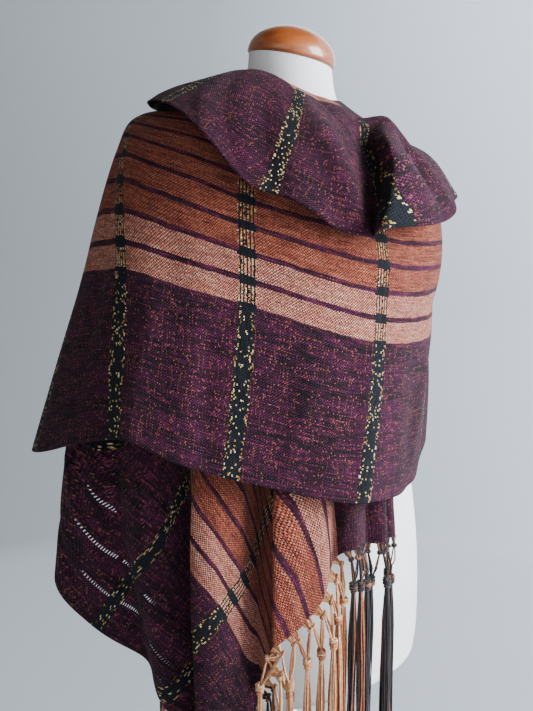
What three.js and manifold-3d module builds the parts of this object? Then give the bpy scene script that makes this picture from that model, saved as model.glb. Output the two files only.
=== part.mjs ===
// A handwoven shawl wound round a limbless dress form, in millimetres, +Z up.
// The form faces -Y and its right side is -X. The origin is the middle of the base's underside.
// A place on the cloth is written [bearing, radius, height]: the bearing is in degrees round the
// form's axis, 0 at the front and growing towards the form's left, and the radius is from that axis.
import * as THREE from "three";
import { mergeVertices } from "three/addons/utils/BufferGeometryUtils.js";
import Module from "manifold-3d";

const wasm = await Module();
wasm.setup();

// Driving dimensions
const WALL = 2.2; // the cloth's wall
const SEAM = 0.3; // gap kept between neighbouring solids
const SEAT = 1.3; // cloth to the form where it rests on the shoulder
const NECK_EASE = 1.1; // the wound layers lie this much looser round the neck than the collar

// Fringe
const LOCK_LENGTH = 225; // a fringe lock below its second knot
const NET_DROP = 38; // from the first row of knots down to the second
const LOCK_THICK = 7; // a fringe lock, knot to tip
const KNOT_THICK = 11;
const STRIP = 4; // backing strip along a fringed edge
const STRIP_GAP = 0.95; // the strip stands this far off the cloth's edge, which bends in the folds
const LEG_SPREAD = 0.38; // from a second knot to its two legs, in lock widths
const LEG_ROOT = 3; // the legs start this far off the edge, inside the strip
const LEG_RADII = [1.9, 2.1];
const LAYER = { out: 4, step: 7 }; // locks hang in three layers, this far off the edge
const LOCK_FALL = { off: 0.3, down: 0.95 }; // the way the net hangs off the edge
const LOCK_SHARE = 0.05; // the locks' lengths differ by this share
const LOCK_SWAY = 3;
// A lock from just above its knot to its tip: distance below the knot as a share of the knot's
// thickness or of the lock's length, and the radius as a share of the lock's or of the knot's
const LOCK_SHAPE = [
  { knots: -0.6, lengths: 0, lock: 0.7, knot: 0 },
  { knots: 0, lengths: 0, lock: 0, knot: 1 },
  { knots: 0.8, lengths: 0, lock: 0.8, knot: 0 },
  { knots: 0, lengths: 0.5, lock: 1.1, knot: 0 },
  { knots: 0, lengths: 1, lock: 0.7, knot: 0 },
];
const TAN_LOCKS = 14;
const DARK_LOCKS = 7;
const BACK_LOCKS = 16;
const BACK_MARGIN = 8; // the back end's fringe starts this far from either selvedge

// Grid steps of each stretch, along it and across it
const PANEL_STEPS = [44, 16];
const WRAP_STEPS = [14, 10];
const COLLAR_GRID = [54, 9];
const UNDER_GRID = [58, 11];

// Dress form and stand
const POLE_RADIUS = 14;
const BASE_RADIUS = 180;
const BASE_HEIGHT = 16;
const FORM_BOTTOM = 447;
const NECK_TOP = 1151; // on the axis
const NECK_TILT = 0.23; // the neck's cut slopes down towards the form's left
const NECK_BEND = 1104; // the slope comes in from here up
const CAP_RADIUS = 48;
const CAP_LIP = 5;
const CAP_HEIGHT = 37;

// The dress form's sections: height, half width along X, half depth along Y
const FORM = [
  { height: 447, width: 158, depth: 106 },
  { height: 458, width: 168, depth: 115 },
  { height: 520, width: 172, depth: 118 },
  { height: 600, width: 168, depth: 116 },
  { height: 680, width: 157, depth: 108 },
  { height: 760, width: 138, depth: 99 },
  { height: 820, width: 128, depth: 95 },
  { height: 900, width: 137, depth: 104 },
  { height: 970, width: 148, depth: 111 },
  { height: 1020, width: 147, depth: 102 },
  { height: 1050, width: 120, depth: 86 },
  { height: 1072, width: 90, depth: 68 },
  { height: 1090, width: 69, depth: 57 },
  { height: 1104, width: 56, depth: 51 },
  { height: 1120, width: 49, depth: 48 },
  { height: 1151, width: 45, depth: 45 },
];

// Smooth curve through the values at the given places, both in rising order
function smooth(places, values, at) {
  const last = places.length - 1;
  const x = Math.min(Math.max(at, places[0]), places[last]);
  let i = 0;
  while (i < last - 1 && x > places[i + 1]) i += 1;
  const slope = (k) => {
    const a = Math.max(k - 1, 0);
    const b = Math.min(k + 1, last);
    return (values[b] - values[a]) / (places[b] - places[a]);
  };
  const span = places[i + 1] - places[i];
  const t = (x - places[i]) / span;
  const rise = 3 * t * t - 2 * t * t * t;
  const lead = (t - 2 * t * t + t * t * t) * span * slope(i);
  const tail = (t * t * t - t * t) * span * slope(i + 1);
  return values[i] + (values[i + 1] - values[i]) * rise + lead + tail;
}

// Smooth curve through places [bearing, radius, height]
function smoothPlace(places, triples, at) {
  return [0, 1, 2].map((k) => smooth(places, triples.map((p) => p[k]), at));
}

const radians = (degrees) => (degrees * Math.PI) / 180;
const ease = (t) => {
  const c = Math.min(Math.max(t, 0), 1);
  return c * c * (3 - 2 * c);
};

function toPoint([bearing, radius, height]) {
  const b = radians(bearing);
  return new THREE.Vector3(radius * Math.sin(b), -radius * Math.cos(b), height);
}

const FORM_HEIGHTS = FORM.map((s) => s.height);
function formRadius(bearing, height) {
  const width = smooth(FORM_HEIGHTS, FORM.map((s) => s.width), height);
  const depth = smooth(FORM_HEIGHTS, FORM.map((s) => s.depth), height);
  const b = radians(bearing);
  return 1 / Math.hypot(Math.sin(b) / width, Math.cos(b) / depth);
}

// Place on the form's shoulder that lies a wall and a seat clear of the form
function restingPlace(bearing, height) {
  return [bearing, formRadius(bearing, height) + WALL / 2 + SEAT, height];
}

// Heights at which each layer starts on the form's shoulder, from the outermost in
const NECK_STAND = { collar: 1109, panel: 1095, under: 1070 };

function neckPlace(bearing, lift = 0) {
  const [, radius, height] = restingPlace(bearing, NECK_STAND.panel + lift);
  return [bearing, radius + NECK_EASE, height];
}

// Main panel: a row for each section across the cloth, at `along` millimetres of warp from the first
// black weft band. The places are the hem, the purple edge, the chest, the shoulder and the top edge.
const PANEL = [
  { along: -640, hem: [-160, 252, 470], purple: [-184, 220, 625], chest: [-200, 207, 722],
    shoulder: [-211, 200, 786], top: [-219, 194, 846] },
  { along: -500, hem: [-150, 262, 600], purple: [-168, 218, 760], chest: [-181, 199, 862],
    shoulder: [-194, 186, 936], top: [-204, 178, 994] },
  { along: -304, hem: [-128, 275, 718], purple: [-146, 216, 885], chest: [-156, 186, 1000],
    shoulder: [-166, 158, 1058], top: [-176, 118, 1090] },
  { along: -152, hem: [-102, 292, 738], purple: [-116, 231, 915], chest: [-125, 190, 1035],
    shoulder: [-134, 150, 1093], top: [-138, 72, 1096] },
  { along: 0, hem: [-70, 268, 785], purple: [-79, 225, 940], chest: [-96, 190, 1057],
    shoulder: [-104, 158, 1095], top: neckPlace(-106) },
  { along: 76, hem: [-59, 245, 768], purple: [-61, 205, 926], chest: [-68, 180, 1038],
    shoulder: [-72, 150, 1088], top: neckPlace(-74) },
  { along: 152, hem: [-46, 220, 747], purple: [-44, 185, 909], chest: [-46, 165, 1014],
    shoulder: [-48, 128, 1072], top: neckPlace(-48) },
  { along: 304, hem: [-8, 185, 710], purple: [2, 165, 865], chest: [5, 154, 974],
    shoulder: [6, 120, 1042], top: neckPlace(6) },
  { along: 456, hem: [42, 150, 703], purple: [50, 159, 857], chest: [53, 168, 962],
    shoulder: [57, 144, 1034], top: neckPlace(58) },
  { along: 590, hem: [84, 162, 768], purple: [91, 164, 884], chest: [95, 162, 972],
    shoulder: [97, 148, 1032], top: neckPlace(98) },
];
const PANEL_WIDTHS = { hem: 0, purple: 180, chest: 300, shoulder: 390, top: 470 };
const PANEL_START = -640; // the fringed end on the back
const PANEL_LIMIT = 590; // here the stretch goes on as the back wrap

// Back wrap: the inner stretch round the back, from the form's left side to under the main panel
const WRAP_START = 1.4; // it starts this far beyond the main panel's end, seam and all
const WRAP_LIMIT = 420;
const WRAP_WAVE = { depth: 4, length: 138, start: 90 }; // the waves of its hem come in over `start`
const WRAP = [
  { ...PANEL[PANEL.length - 1], along: 0 },
  { along: 120, hem: [128, 164, 742], purple: [130, 156, 870], chest: [132, 150, 968],
    shoulder: [134, 132, 1042], top: neckPlace(135, -11) },
  { along: 270, hem: [176, 158, 712], purple: [177, 146, 865], chest: [178, 136, 975],
    shoulder: [178, 112, 1052], top: neckPlace(178, -11) },
  { along: 420, hem: [222, 188, 730], purple: [220, 168, 880], chest: [219, 158, 985],
    shoulder: [218, 134, 1054], top: neckPlace(218, -11) },
];

// Under end: a row for each section that hangs from the form's shoulder, under the main panel.
// The columns are [radius, height] on the shoulder, under the panel, at the panel's hem and low down.
const UNDER = [
  { bearing: -128, shoulder: [158, 1010], upper: [226, 840], middle: [246, 740], low: [250, 655] },
  { bearing: -109, shoulder: [166, 1010], upper: [232, 840], middle: [252, 710], low: [268, 584] },
  { bearing: -97, shoulder: [170, 1010], upper: [222, 840], middle: [244, 706], low: [237, 542] },
  { bearing: -85, shoulder: [168, 1010], upper: [210, 840], middle: [230, 702], low: [201, 501] },
  { bearing: -70, shoulder: [158, 1010], upper: [198, 840], middle: [214, 696], low: [191, 453] },
  { bearing: -55, shoulder: [148, 1010], upper: [184, 840], middle: [203, 694], low: [194, 409] },
  { bearing: -47, shoulder: [138, 1010], upper: [176, 842], middle: [197, 694], low: [192, 452] },
  { bearing: -40, shoulder: [132, 1010], upper: [170, 844], middle: [190, 696], low: [187, 502] },
  { bearing: -30, shoulder: [126, 1010], upper: [160, 846], middle: [180, 700], low: [180, 562] },
  { bearing: -20, shoulder: [122, 1010], upper: [152, 848], middle: [171, 706], low: [173, 604] },
  { bearing: -11, shoulder: [120, 1010], upper: [146, 850], middle: [164, 712], low: [166, 650] },
  { bearing: 5, shoulder: [120, 1010], upper: [141, 850], middle: [152, 714], low: [156, 648] },
  { bearing: 21, shoulder: [122, 1010], upper: [138, 850], middle: [142, 714], low: [147, 643] },
];
const UNDER_STEPS = { neck: 0, shoulder: 0.16, upper: 0.42, middle: 0.64, low: 1 };
const UNDER_REACH = { from: 0.2, over: 0.5 }; // its folds come in from here down
const CORNER_BEARING = -54; // lowest corner, between the long selvedge and the fringed end
const DARK_BEARING = -12; // the fringe is tan before this bearing and dark after it

// Folds of the under end: ridges and valleys at a bearing, with their breadth in degrees and depth
const UNDER_FOLDS = [
  { bearing: -117, breadth: 5, depth: -9 },
  { bearing: -103, breadth: 8, depth: 9 },
  { bearing: -88, breadth: 4.5, depth: -25 },
  { bearing: -75, breadth: 6, depth: 9 },
  { bearing: -64, breadth: 3.6, depth: -23 },
  { bearing: -56.5, breadth: 4, depth: 13 },
  { bearing: -43, breadth: 4.5, depth: -22 },
  { bearing: -34, breadth: 3.8, depth: 10 },
  { bearing: -25, breadth: 3.2, depth: -5 },
  { bearing: -14.5, breadth: 2.6, depth: -11 },
  { bearing: -7, breadth: 3.4, depth: 7 },
  { bearing: 2, breadth: 2.8, depth: -9 },
  { bearing: 9, breadth: 3, depth: 6 },
  { bearing: 15, breadth: 2.4, depth: -6 },
];

// Soft waves of the main panel, strongest at its hem
const PANEL_FOLDS = [
  { bearing: -176, breadth: 7, depth: 10 },
  { bearing: -160, breadth: 6, depth: -12 },
  { bearing: -143, breadth: 7, depth: 9 },
  { bearing: -128, breadth: 6, depth: -11 },
  { bearing: -92, breadth: 8, depth: -6 },
  { bearing: -58, breadth: 7, depth: 5 },
  { bearing: -33, breadth: 8, depth: -5 },
  { bearing: -8, breadth: 8, depth: 4 },
  { bearing: 24, breadth: 8, depth: -5 },
  { bearing: 62, breadth: 8, depth: 7 },
];

// Collar: the upper edge folded over outwards. A row for each section round the neck.
const COLLAR = [
  { bearing: -180, roll: [90, 1120], spread: [112, 1110], low: [150, 1080] },
  { bearing: -146, roll: [112, 1116], spread: [136, 1112], low: [164, 1090] },
  { bearing: -114, roll: [144, 1111], spread: [156, 1109], low: [171, 1099] },
  { bearing: -88, roll: [116, 1125], spread: [144, 1119], low: [174, 1103] },
  { bearing: -70, roll: [86, 1138], spread: [138, 1115], low: [174, 1097] },
  { bearing: -56, roll: [82, 1137], spread: [140, 1106], low: [178, 1066] },
  { bearing: -45, roll: [80, 1132], spread: [142, 1097], low: [182, 1030] },
  { bearing: -30, roll: [80, 1121], spread: [140, 1085], low: [184, 1012] },
  { bearing: -14, roll: [82, 1111], spread: [138, 1074], low: [186, 984] },
  { bearing: 2, roll: [90, 1102], spread: [138, 1062], low: [190, 981] },
  { bearing: 17, roll: [103, 1084], spread: [142, 1055], low: [194, 985] },
  { bearing: 29, roll: [117, 1090], spread: [130, 1052], low: [193, 992] },
  { bearing: 40, roll: [117, 1067], spread: [148, 1052], low: [187, 1002] },
  { bearing: 60, roll: [108, 1073], spread: [152, 1051], low: [184, 1008] },
  { bearing: 95, roll: [90, 1090], spread: [138, 1060], low: [172, 1014] },
  { bearing: 135, roll: [86, 1106], spread: [116, 1088], low: [154, 1046] },
  { bearing: 180, roll: [90, 1120], spread: [112, 1110], low: [150, 1080] },
];
// Drape folds of the collar: they start at one bearing on the roll and reach the low edge at another
const COLLAR_FOLDS = [
  { from: -78, to: -58, breadth: 6, depth: 5 },
  { from: -52, to: -36, breadth: 6, depth: -6 },
  { from: -38, to: -6, breadth: 6, depth: 9 },
  { from: 14, to: -5, breadth: 4.8, depth: -16 },
  { from: 26, to: 7, breadth: 6, depth: 12 },
  { from: 42, to: 46, breadth: 8, depth: -6 },
  { from: 72, to: 70, breadth: 9, depth: 6 },
  { from: 112, to: 112, breadth: 9, depth: -6 },
  { from: 150, to: 150, breadth: 9, depth: 5 },
];

// The collar dips between the neck and the crest of its lobe
const LOBE_DIP = { bearing: 25, breadth: 12, depth: 13 };
const COLLAR_STEPS = { neck: 0, inner: 0.14, roll: 0.3, spread: 0.6, low: 1 };
const COLLAR_INSIDE = { in: 6, up: 3 }; // its inner side lies this far off the middle of neck and roll
const COLLAR_REACH = { from: 0.3, over: 0.45 };
const COLLAR_LIFT = 0.35; // a fold rises this much for each millimetre that it stands out

const COLOURS = {
  cloth: 0x3a1a30,
  tan: 0xb5733f,
  dark: 0x2a1a1c,
  form: 0xe6e4e0,
  wood: 0xa8642f,
  steel: 0xb9bcc0,
};

function foldDepth(folds, bearing) {
  let sum = 0;
  for (const fold of folds) {
    const off = (bearing - fold.bearing) / fold.breadth;
    sum += fold.depth * Math.exp(-off * off);
  }
  return sum;
}

// Point of a wrapped stretch: `along` the warp and `across` from its hem
function wrappedPlace(rows, along, across) {
  const stations = rows.map((row) => row.along);
  const keys = Object.keys(PANEL_WIDTHS);
  const triples = keys.map((key) => smoothPlace(stations, rows.map((row) => row[key]), along));
  return smoothPlace(Object.values(PANEL_WIDTHS), triples, across);
}

function panelPlace(along, across) {
  const place = wrappedPlace(PANEL, along, across);
  const hang = ease(1 - across / PANEL_WIDTHS.chest);
  place[1] += foldDepth(PANEL_FOLDS, place[0]) * hang;
  return place;
}

function wrapPlace(along, across) {
  const place = wrappedPlace(WRAP, along, across);
  const hang = ease(1 - across / PANEL_WIDTHS.chest) * ease(along / WRAP_WAVE.start);
  place[1] += WRAP_WAVE.depth * Math.sin((2 * Math.PI * along) / WRAP_WAVE.length) * hang;
  return place;
}

function underPlace(bearing, down) {
  const bearings = UNDER.map((row) => row.bearing);
  const at = (key) => [0, 1].map((k) => smooth(bearings, UNDER.map((row) => row[key][k]), bearing));
  const neck = restingPlace(bearing, NECK_STAND.under).slice(1);
  const pairs = [neck, at("shoulder"), at("upper"), at("middle"), at("low")];
  const steps = Object.values(UNDER_STEPS);
  const [radius, height] = [0, 1].map((k) => smooth(steps, pairs.map((p) => p[k]), down));
  const hang = ease((down - UNDER_REACH.from) / UNDER_REACH.over);
  return [bearing, radius + foldDepth(UNDER_FOLDS, bearing) * hang, height];
}

// Bearings between two limits that cut the under end's low edge into even steps of cloth
function evenBearings(first, last, count) {
  const FINE = 400;
  const lengths = [0];
  let before = toPoint(underPlace(first, 1));
  for (let i = 1; i <= FINE; i += 1) {
    const point = toPoint(underPlace(first + ((last - first) * i) / FINE, 1));
    lengths.push(lengths[i - 1] + point.distanceTo(before));
    before = point;
  }
  const bearings = [];
  let i = 0;
  for (let n = 0; n <= count; n += 1) {
    const wanted = (lengths[FINE] * n) / count;
    while (i < FINE - 1 && lengths[i + 1] < wanted) i += 1;
    const part = (wanted - lengths[i]) / (lengths[i + 1] - lengths[i]);
    bearings.push(first + ((last - first) * (i + Math.min(part, 1))) / FINE);
  }
  return bearings;
}

function collarPlace(bearing, down) {
  const bearings = COLLAR.map((row) => row.bearing);
  const at = (key) => [0, 1].map((k) => smooth(bearings, COLLAR.map((row) => row[key][k]), bearing));
  const neck = restingPlace(bearing, NECK_STAND.collar).slice(1);
  const roll = at("roll");
  const beside = (bearing - LOBE_DIP.bearing) / LOBE_DIP.breadth;
  const dip = LOBE_DIP.depth * Math.exp(-beside * beside);
  const inner = [
    (neck[0] + roll[0]) / 2 - COLLAR_INSIDE.in,
    (neck[1] + roll[1]) / 2 + COLLAR_INSIDE.up - dip,
  ];
  const pairs = [neck, inner, roll, at("spread"), at("low")];
  const steps = Object.values(COLLAR_STEPS);
  const [radius, height] = [0, 1].map((k) => smooth(steps, pairs.map((p) => p[k]), down));
  let fold = 0;
  for (const drape of COLLAR_FOLDS) {
    const middle = drape.from + (drape.to - drape.from) * down;
    const off = (bearing - middle) / drape.breadth;
    fold += drape.depth * Math.exp(-off * off);
  }
  const reach = ease((down - COLLAR_REACH.from) / COLLAR_REACH.over);
  return [bearing, radius + fold * reach, height + fold * COLLAR_LIFT * reach];
}

// Closed wall of even thickness round a grid of points; `ring` joins the last row to the first
function wall(rows, ring, thickness) {
  const across = rows[0].length;
  const count = rows.length;
  const pick = (i, j) => {
    const row = ring ? (i + count) % count : Math.min(Math.max(i, 0), count - 1);
    return rows[row][Math.min(Math.max(j, 0), across - 1)];
  };
  const faces = [[], []];
  for (let i = 0; i < count; i += 1) {
    for (let j = 0; j < across; j += 1) {
      const a = new THREE.Vector3().subVectors(pick(i + 1, j), pick(i - 1, j));
      const b = new THREE.Vector3().subVectors(pick(i, j + 1), pick(i, j - 1));
      const normal = a.cross(b).normalize().multiplyScalar(thickness / 2);
      faces[0].push(new THREE.Vector3().addVectors(pick(i, j), normal));
      faces[1].push(new THREE.Vector3().subVectors(pick(i, j), normal));
    }
  }
  const points = [...faces[0], ...faces[1]];
  const index = [];
  const under = count * across;
  const id = (i, j) => (i % count) * across + j;
  const quad = (a, b, c, d) => index.push(a, b, c, a, c, d);
  const lastRow = ring ? count : count - 1;
  for (let i = 0; i < lastRow; i += 1) {
    for (let j = 0; j < across - 1; j += 1) {
      const corners = [id(i, j), id(i + 1, j), id(i + 1, j + 1), id(i, j + 1)];
      quad(...corners);
      const [a, b, c, d] = corners.map((k) => k + under);
      index.push(a, c, b, a, d, c);
    }
    quad(id(i, 0), id(i, 0) + under, id(i + 1, 0) + under, id(i + 1, 0));
    const end = across - 1;
    quad(id(i + 1, end), id(i + 1, end) + under, id(i, end) + under, id(i, end));
  }
  if (!ring) {
    for (let j = 0; j < across - 1; j += 1) {
      quad(id(0, j + 1), id(0, j + 1) + under, id(0, j) + under, id(0, j));
      const end = count - 1;
      quad(id(end, j), id(end, j) + under, id(end, j + 1) + under, id(end, j + 1));
    }
  }
  return solidGeometry(points, index);
}

function solidGeometry(points, index) {
  const geometry = new THREE.BufferGeometry();
  const flat = points.flatMap((p) => [p.x, p.y, p.z]);
  geometry.setAttribute("position", new THREE.Float32BufferAttribute(flat, 3));
  geometry.setIndex(index);
  return outward(geometry);
}

// Turns the faces round where the solid's volume comes out negative
function outward(geometry) {
  const p = geometry.attributes.position;
  const index = geometry.index.array;
  const [a, b, c] = [new THREE.Vector3(), new THREE.Vector3(), new THREE.Vector3()];
  let volume = 0;
  for (let i = 0; i < index.length; i += 3) {
    a.fromBufferAttribute(p, index[i]);
    b.fromBufferAttribute(p, index[i + 1]);
    c.fromBufferAttribute(p, index[i + 2]);
    volume += a.dot(b.cross(c));
  }
  if (volume < 0) {
    for (let i = 0; i < index.length; i += 3) {
      [index[i + 1], index[i + 2]] = [index[i + 2], index[i + 1]];
    }
  }
  return geometry;
}

// Rows of points of a stretch, from a place function over two even ranges
function gridRows(place, [first, last, steps], [low, high, parts], closed) {
  const rows = [];
  const count = closed ? steps : steps + 1;
  for (let i = 0; i < count; i += 1) {
    const s = first + ((last - first) * i) / steps;
    const row = [];
    for (let j = 0; j <= parts; j += 1) {
      row.push(toPoint(place(s, low + ((high - low) * j) / parts)));
    }
    rows.push(row);
  }
  return rows;
}

// Closed tube with `sides` sides through the points, with a radius for each
function tube(points, radii, sides) {
  const verts = [];
  const index = [];
  points.forEach((point, i) => {
    const ahead = points[Math.min(i + 1, points.length - 1)];
    const behind = points[Math.max(i - 1, 0)];
    const axis = new THREE.Vector3().subVectors(ahead, behind).normalize();
    const side = new THREE.Vector3(-axis.y - 0.2, axis.x + 0.1, 0.3).cross(axis).normalize();
    const other = new THREE.Vector3().crossVectors(axis, side);
    for (let k = 0; k < sides; k += 1) {
      const a = (2 * Math.PI * k) / sides;
      const arm = side.clone().multiplyScalar(Math.cos(a) * radii[i]);
      arm.addScaledVector(other, Math.sin(a) * radii[i]);
      verts.push(arm.add(point));
    }
  });
  for (let i = 0; i < points.length - 1; i += 1) {
    for (let k = 0; k < sides; k += 1) {
      const a = i * sides + k;
      const b = i * sides + ((k + 1) % sides);
      index.push(a, b, b + sides, a, b + sides, a + sides);
    }
  }
  for (let k = 1; k < sides - 1; k += 1) {
    index.push(0, k + 1, k);
    const top = (points.length - 1) * sides;
    index.push(top, top + k, top + k + 1);
  }
  return solidGeometry(verts, index);
}

function toManifold(geometry) {
  const bare = geometry.clone();
  bare.deleteAttribute("normal");
  bare.deleteAttribute("uv");
  const merged = mergeVertices(bare, 1e-4);
  return new wasm.Manifold(
    new wasm.Mesh({
      numProp: 3,
      vertProperties: new Float32Array(merged.attributes.position.array),
      triVerts: new Uint32Array(merged.index.array),
    }),
  );
}

function fused(geometries) {
  let whole = toManifold(geometries[0]);
  for (const geometry of geometries.slice(1)) whole = whole.add(toManifold(geometry));
  const mesh = whole.getMesh();
  const geometry = new THREE.BufferGeometry();
  geometry.setAttribute("position", new THREE.BufferAttribute(mesh.vertProperties, 3));
  geometry.setIndex(new THREE.BufferAttribute(mesh.triVerts, 1));
  return geometry;
}

// Netted fringe along one stretch of a fringed edge: `edge(t)` gives the cloth's edge and `outside(t)`
// the way off it. Neighbouring first knots share a second knot, and one lock hangs from it.
function fringe(edge, locks, stations) {
  const pieces = [];
  const down = new THREE.Vector3(0, 0, -1);
  const strip = stations.map((t) => {
    const { point, off } = edge(t);
    return [STRIP_GAP, STRIP_GAP + STRIP].map((far) => point.clone().addScaledVector(off, far));
  });
  pieces.push(wall(strip, false, WALL));
  for (let n = 0; n < locks; n += 1) {
    const here = edge((n + 0.5) / locks);
    const fall = here.off.clone().multiplyScalar(LOCK_FALL.off);
    fall.addScaledVector(down, LOCK_FALL.down).normalize();
    const knot = here.point.clone().addScaledVector(here.off, STRIP).addScaledVector(fall, NET_DROP);
    const out = here.out.clone().multiplyScalar(LAYER.out + ((n % 3) - 1) * LAYER.step);
    knot.add(out);
    for (const t of [(n + 0.5 - LEG_SPREAD) / locks, (n + 0.5 + LEG_SPREAD) / locks]) {
      const from = edge(t);
      const start = from.point.clone().addScaledVector(from.off, LEG_ROOT);
      pieces.push(tube([start, knot], LEG_RADII, 3));
    }
    const length = LOCK_LENGTH * (1 + LOCK_SHARE * Math.sin(n * 2.4));
    const sway = new THREE.Vector3(Math.sin(n * 1.7), Math.cos(n * 2.3), 0).multiplyScalar(LOCK_SWAY);
    const path = LOCK_SHAPE.map(({ knots, lengths }) => {
      const drop = knots * KNOT_THICK + lengths * length;
      return knot.clone().addScaledVector(down, drop).addScaledVector(sway, drop / length);
    });
    const radii = LOCK_SHAPE.map((row) => (row.lock * LOCK_THICK + row.knot * KNOT_THICK) / 2);
    pieces.push(tube(path, radii, 3));
  }
  return fused(pieces);
}

// Fringed edge of the under end between two bearings
function underEdge(first, last) {
  return (t) => {
    const bearing = first + (last - first) * t;
    const point = toPoint(underPlace(bearing, 1));
    const along = toPoint(underPlace(bearing + 0.2, 1)).sub(toPoint(underPlace(bearing - 0.2, 1)));
    const out = new THREE.Vector3(point.x, point.y, 0).normalize();
    const off = along.normalize().cross(out).normalize();
    if (off.z > 0) off.negate();
    return { point, off, out };
  };
}

// Places from 0 to 1 of the given stations that lie between two limits, with both ends
function stationsBetween(stations, first, last) {
  const inside = stations.filter((s) => s > first + 0.4 && s < last - 0.4);
  return [first, ...inside, last].map((s) => (s - first) / (last - first));
}

// The back end's fringed edge, from its hem up
function backEdge(t) {
  const across = BACK_MARGIN + (PANEL_WIDTHS.top - 2 * BACK_MARGIN) * t;
  const point = toPoint(panelPlace(PANEL_START, across));
  const off = point.clone().sub(toPoint(panelPlace(PANEL_START + 8, across))).normalize();
  const out = new THREE.Vector3(point.x, point.y, 0).normalize();
  return { point, off, out };
}

// The dress form: one closed body whose neck is cut at a slope
function dressForm() {
  const AROUND = 32;
  const MID_NECK = 1136;
  const heights = [...FORM_HEIGHTS, MID_NECK].sort((a, b) => a - b);
  const points = [];
  const index = [];
  heights.forEach((height) => {
    for (let k = 0; k < AROUND; k += 1) {
      const bearing = (360 * k) / AROUND;
      const point = toPoint([bearing, formRadius(bearing, height), height]);
      point.z -= point.x * NECK_TILT * ease((height - NECK_BEND) / (NECK_TOP - NECK_BEND));
      points.push(point);
    }
  });
  for (let i = 0; i < heights.length - 1; i += 1) {
    for (let k = 0; k < AROUND; k += 1) {
      const a = i * AROUND + k;
      const b = i * AROUND + ((k + 1) % AROUND);
      index.push(a, b, b + AROUND, a, b + AROUND, a + AROUND);
    }
  }
  const bottom = points.length;
  points.push(new THREE.Vector3(0, 0, FORM_BOTTOM), new THREE.Vector3(0, 0, NECK_TOP));
  const top = (heights.length - 1) * AROUND;
  for (let k = 0; k < AROUND; k += 1) {
    const next = (k + 1) % AROUND;
    index.push(bottom, next, k);
    index.push(bottom + 1, top + k, top + next);
  }
  return solidGeometry(points, index);
}

function neckCap() {
  const profile = [[0, 0], [CAP_RADIUS - 1.5, 0], [CAP_RADIUS, 1.5], [CAP_RADIUS, CAP_LIP]];
  const ARC = 7;
  for (let i = 1; i <= ARC; i += 1) {
    const a = (Math.PI / 2) * (i / ARC);
    profile.push([CAP_RADIUS * Math.cos(a), CAP_LIP + (CAP_HEIGHT - CAP_LIP) * Math.sin(a)]);
  }
  profile[profile.length - 1][0] = 0;
  const outline = profile.map(([r, z]) => new THREE.Vector2(r, z));
  return new THREE.LatheGeometry(outline, 28).rotateX(Math.PI / 2);
}

function standBase() {
  const EDGE = 5;
  const profile = [[0, 0], [BASE_RADIUS, 0], [BASE_RADIUS, BASE_HEIGHT - EDGE]];
  profile.push([BASE_RADIUS - EDGE, BASE_HEIGHT], [POLE_RADIUS + 8, BASE_HEIGHT], [0, BASE_HEIGHT]);
  const outline = profile.map(([r, z]) => new THREE.Vector2(r, z));
  return new THREE.LatheGeometry(outline, 40).rotateX(Math.PI / 2);
}

function standPole() {
  const height = FORM_BOTTOM - BASE_HEIGHT - 2 * SEAM;
  const pole = new THREE.CylinderGeometry(POLE_RADIUS, POLE_RADIUS, height, 16);
  return pole.rotateX(Math.PI / 2).translate(0, 0, BASE_HEIGHT + SEAM + height / 2);
}

function addMesh(group, name, geometry, colour, roughness = 0.9, metalness = 0) {
  const material = new THREE.MeshStandardMaterial({ color: colour, roughness, metalness });
  const mesh = new THREE.Mesh(geometry, material);
  mesh.name = name;
  group.add(mesh);
  return mesh;
}

const shawlOnForm = new THREE.Group();

const [panelSteps, panelParts] = PANEL_STEPS;
const panelRange = [PANEL_START, PANEL_LIMIT - SEAM, panelSteps];
const panelRows = gridRows(panelPlace, panelRange, [0, PANEL_WIDTHS.top, panelParts]);
addMesh(shawlOnForm, "main_panel", wall(panelRows, false, WALL), COLOURS.cloth);

const [wrapSteps, wrapParts] = WRAP_STEPS;
const wrapRange = [WRAP_START, WRAP_LIMIT, wrapSteps];
const wrapRows = gridRows(wrapPlace, wrapRange, [0, PANEL_WIDTHS.top, wrapParts]);
addMesh(shawlOnForm, "back_wrap", wall(wrapRows, false, WALL), COLOURS.cloth);

const [collarSteps, collarParts] = COLLAR_GRID;
const collarRows = gridRows(collarPlace, [-180, 180, collarSteps], [0, 1, collarParts], true);
addMesh(shawlOnForm, "collar", wall(collarRows, true, WALL), COLOURS.cloth);

const [underSteps, underParts] = UNDER_GRID;
const UNDER_LIMIT = UNDER[UNDER.length - 1].bearing;
const underBearings = evenBearings(UNDER[0].bearing, UNDER_LIMIT, underSteps);
const underRows = underBearings.map((bearing) =>
  Array.from({ length: underParts + 1 }, (_, j) => toPoint(underPlace(bearing, j / underParts))));
addMesh(shawlOnForm, "under_end", wall(underRows, false, WALL), COLOURS.cloth);

const tanRange = [CORNER_BEARING + 1, DARK_BEARING - 1.5];
const darkRange = [DARK_BEARING + 1.5, UNDER_LIMIT - 0.5];
const tanStations = stationsBetween(underBearings, ...tanRange);
const darkStations = stationsBetween(underBearings, ...darkRange);
const tanFringe = fringe(underEdge(...tanRange), TAN_LOCKS, tanStations);
addMesh(shawlOnForm, "fringe_front_tan", tanFringe, COLOURS.tan);
const darkFringe = fringe(underEdge(...darkRange), DARK_LOCKS, darkStations);
addMesh(shawlOnForm, "fringe_front_dark", darkFringe, COLOURS.dark);
const backWidths = Array.from({ length: panelParts + 1 }, (_, j) => (PANEL_WIDTHS.top * j) / panelParts);
const backStations = stationsBetween(backWidths, BACK_MARGIN, PANEL_WIDTHS.top - BACK_MARGIN);
addMesh(shawlOnForm, "fringe_back", fringe(backEdge, BACK_LOCKS, backStations), COLOURS.tan);

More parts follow.
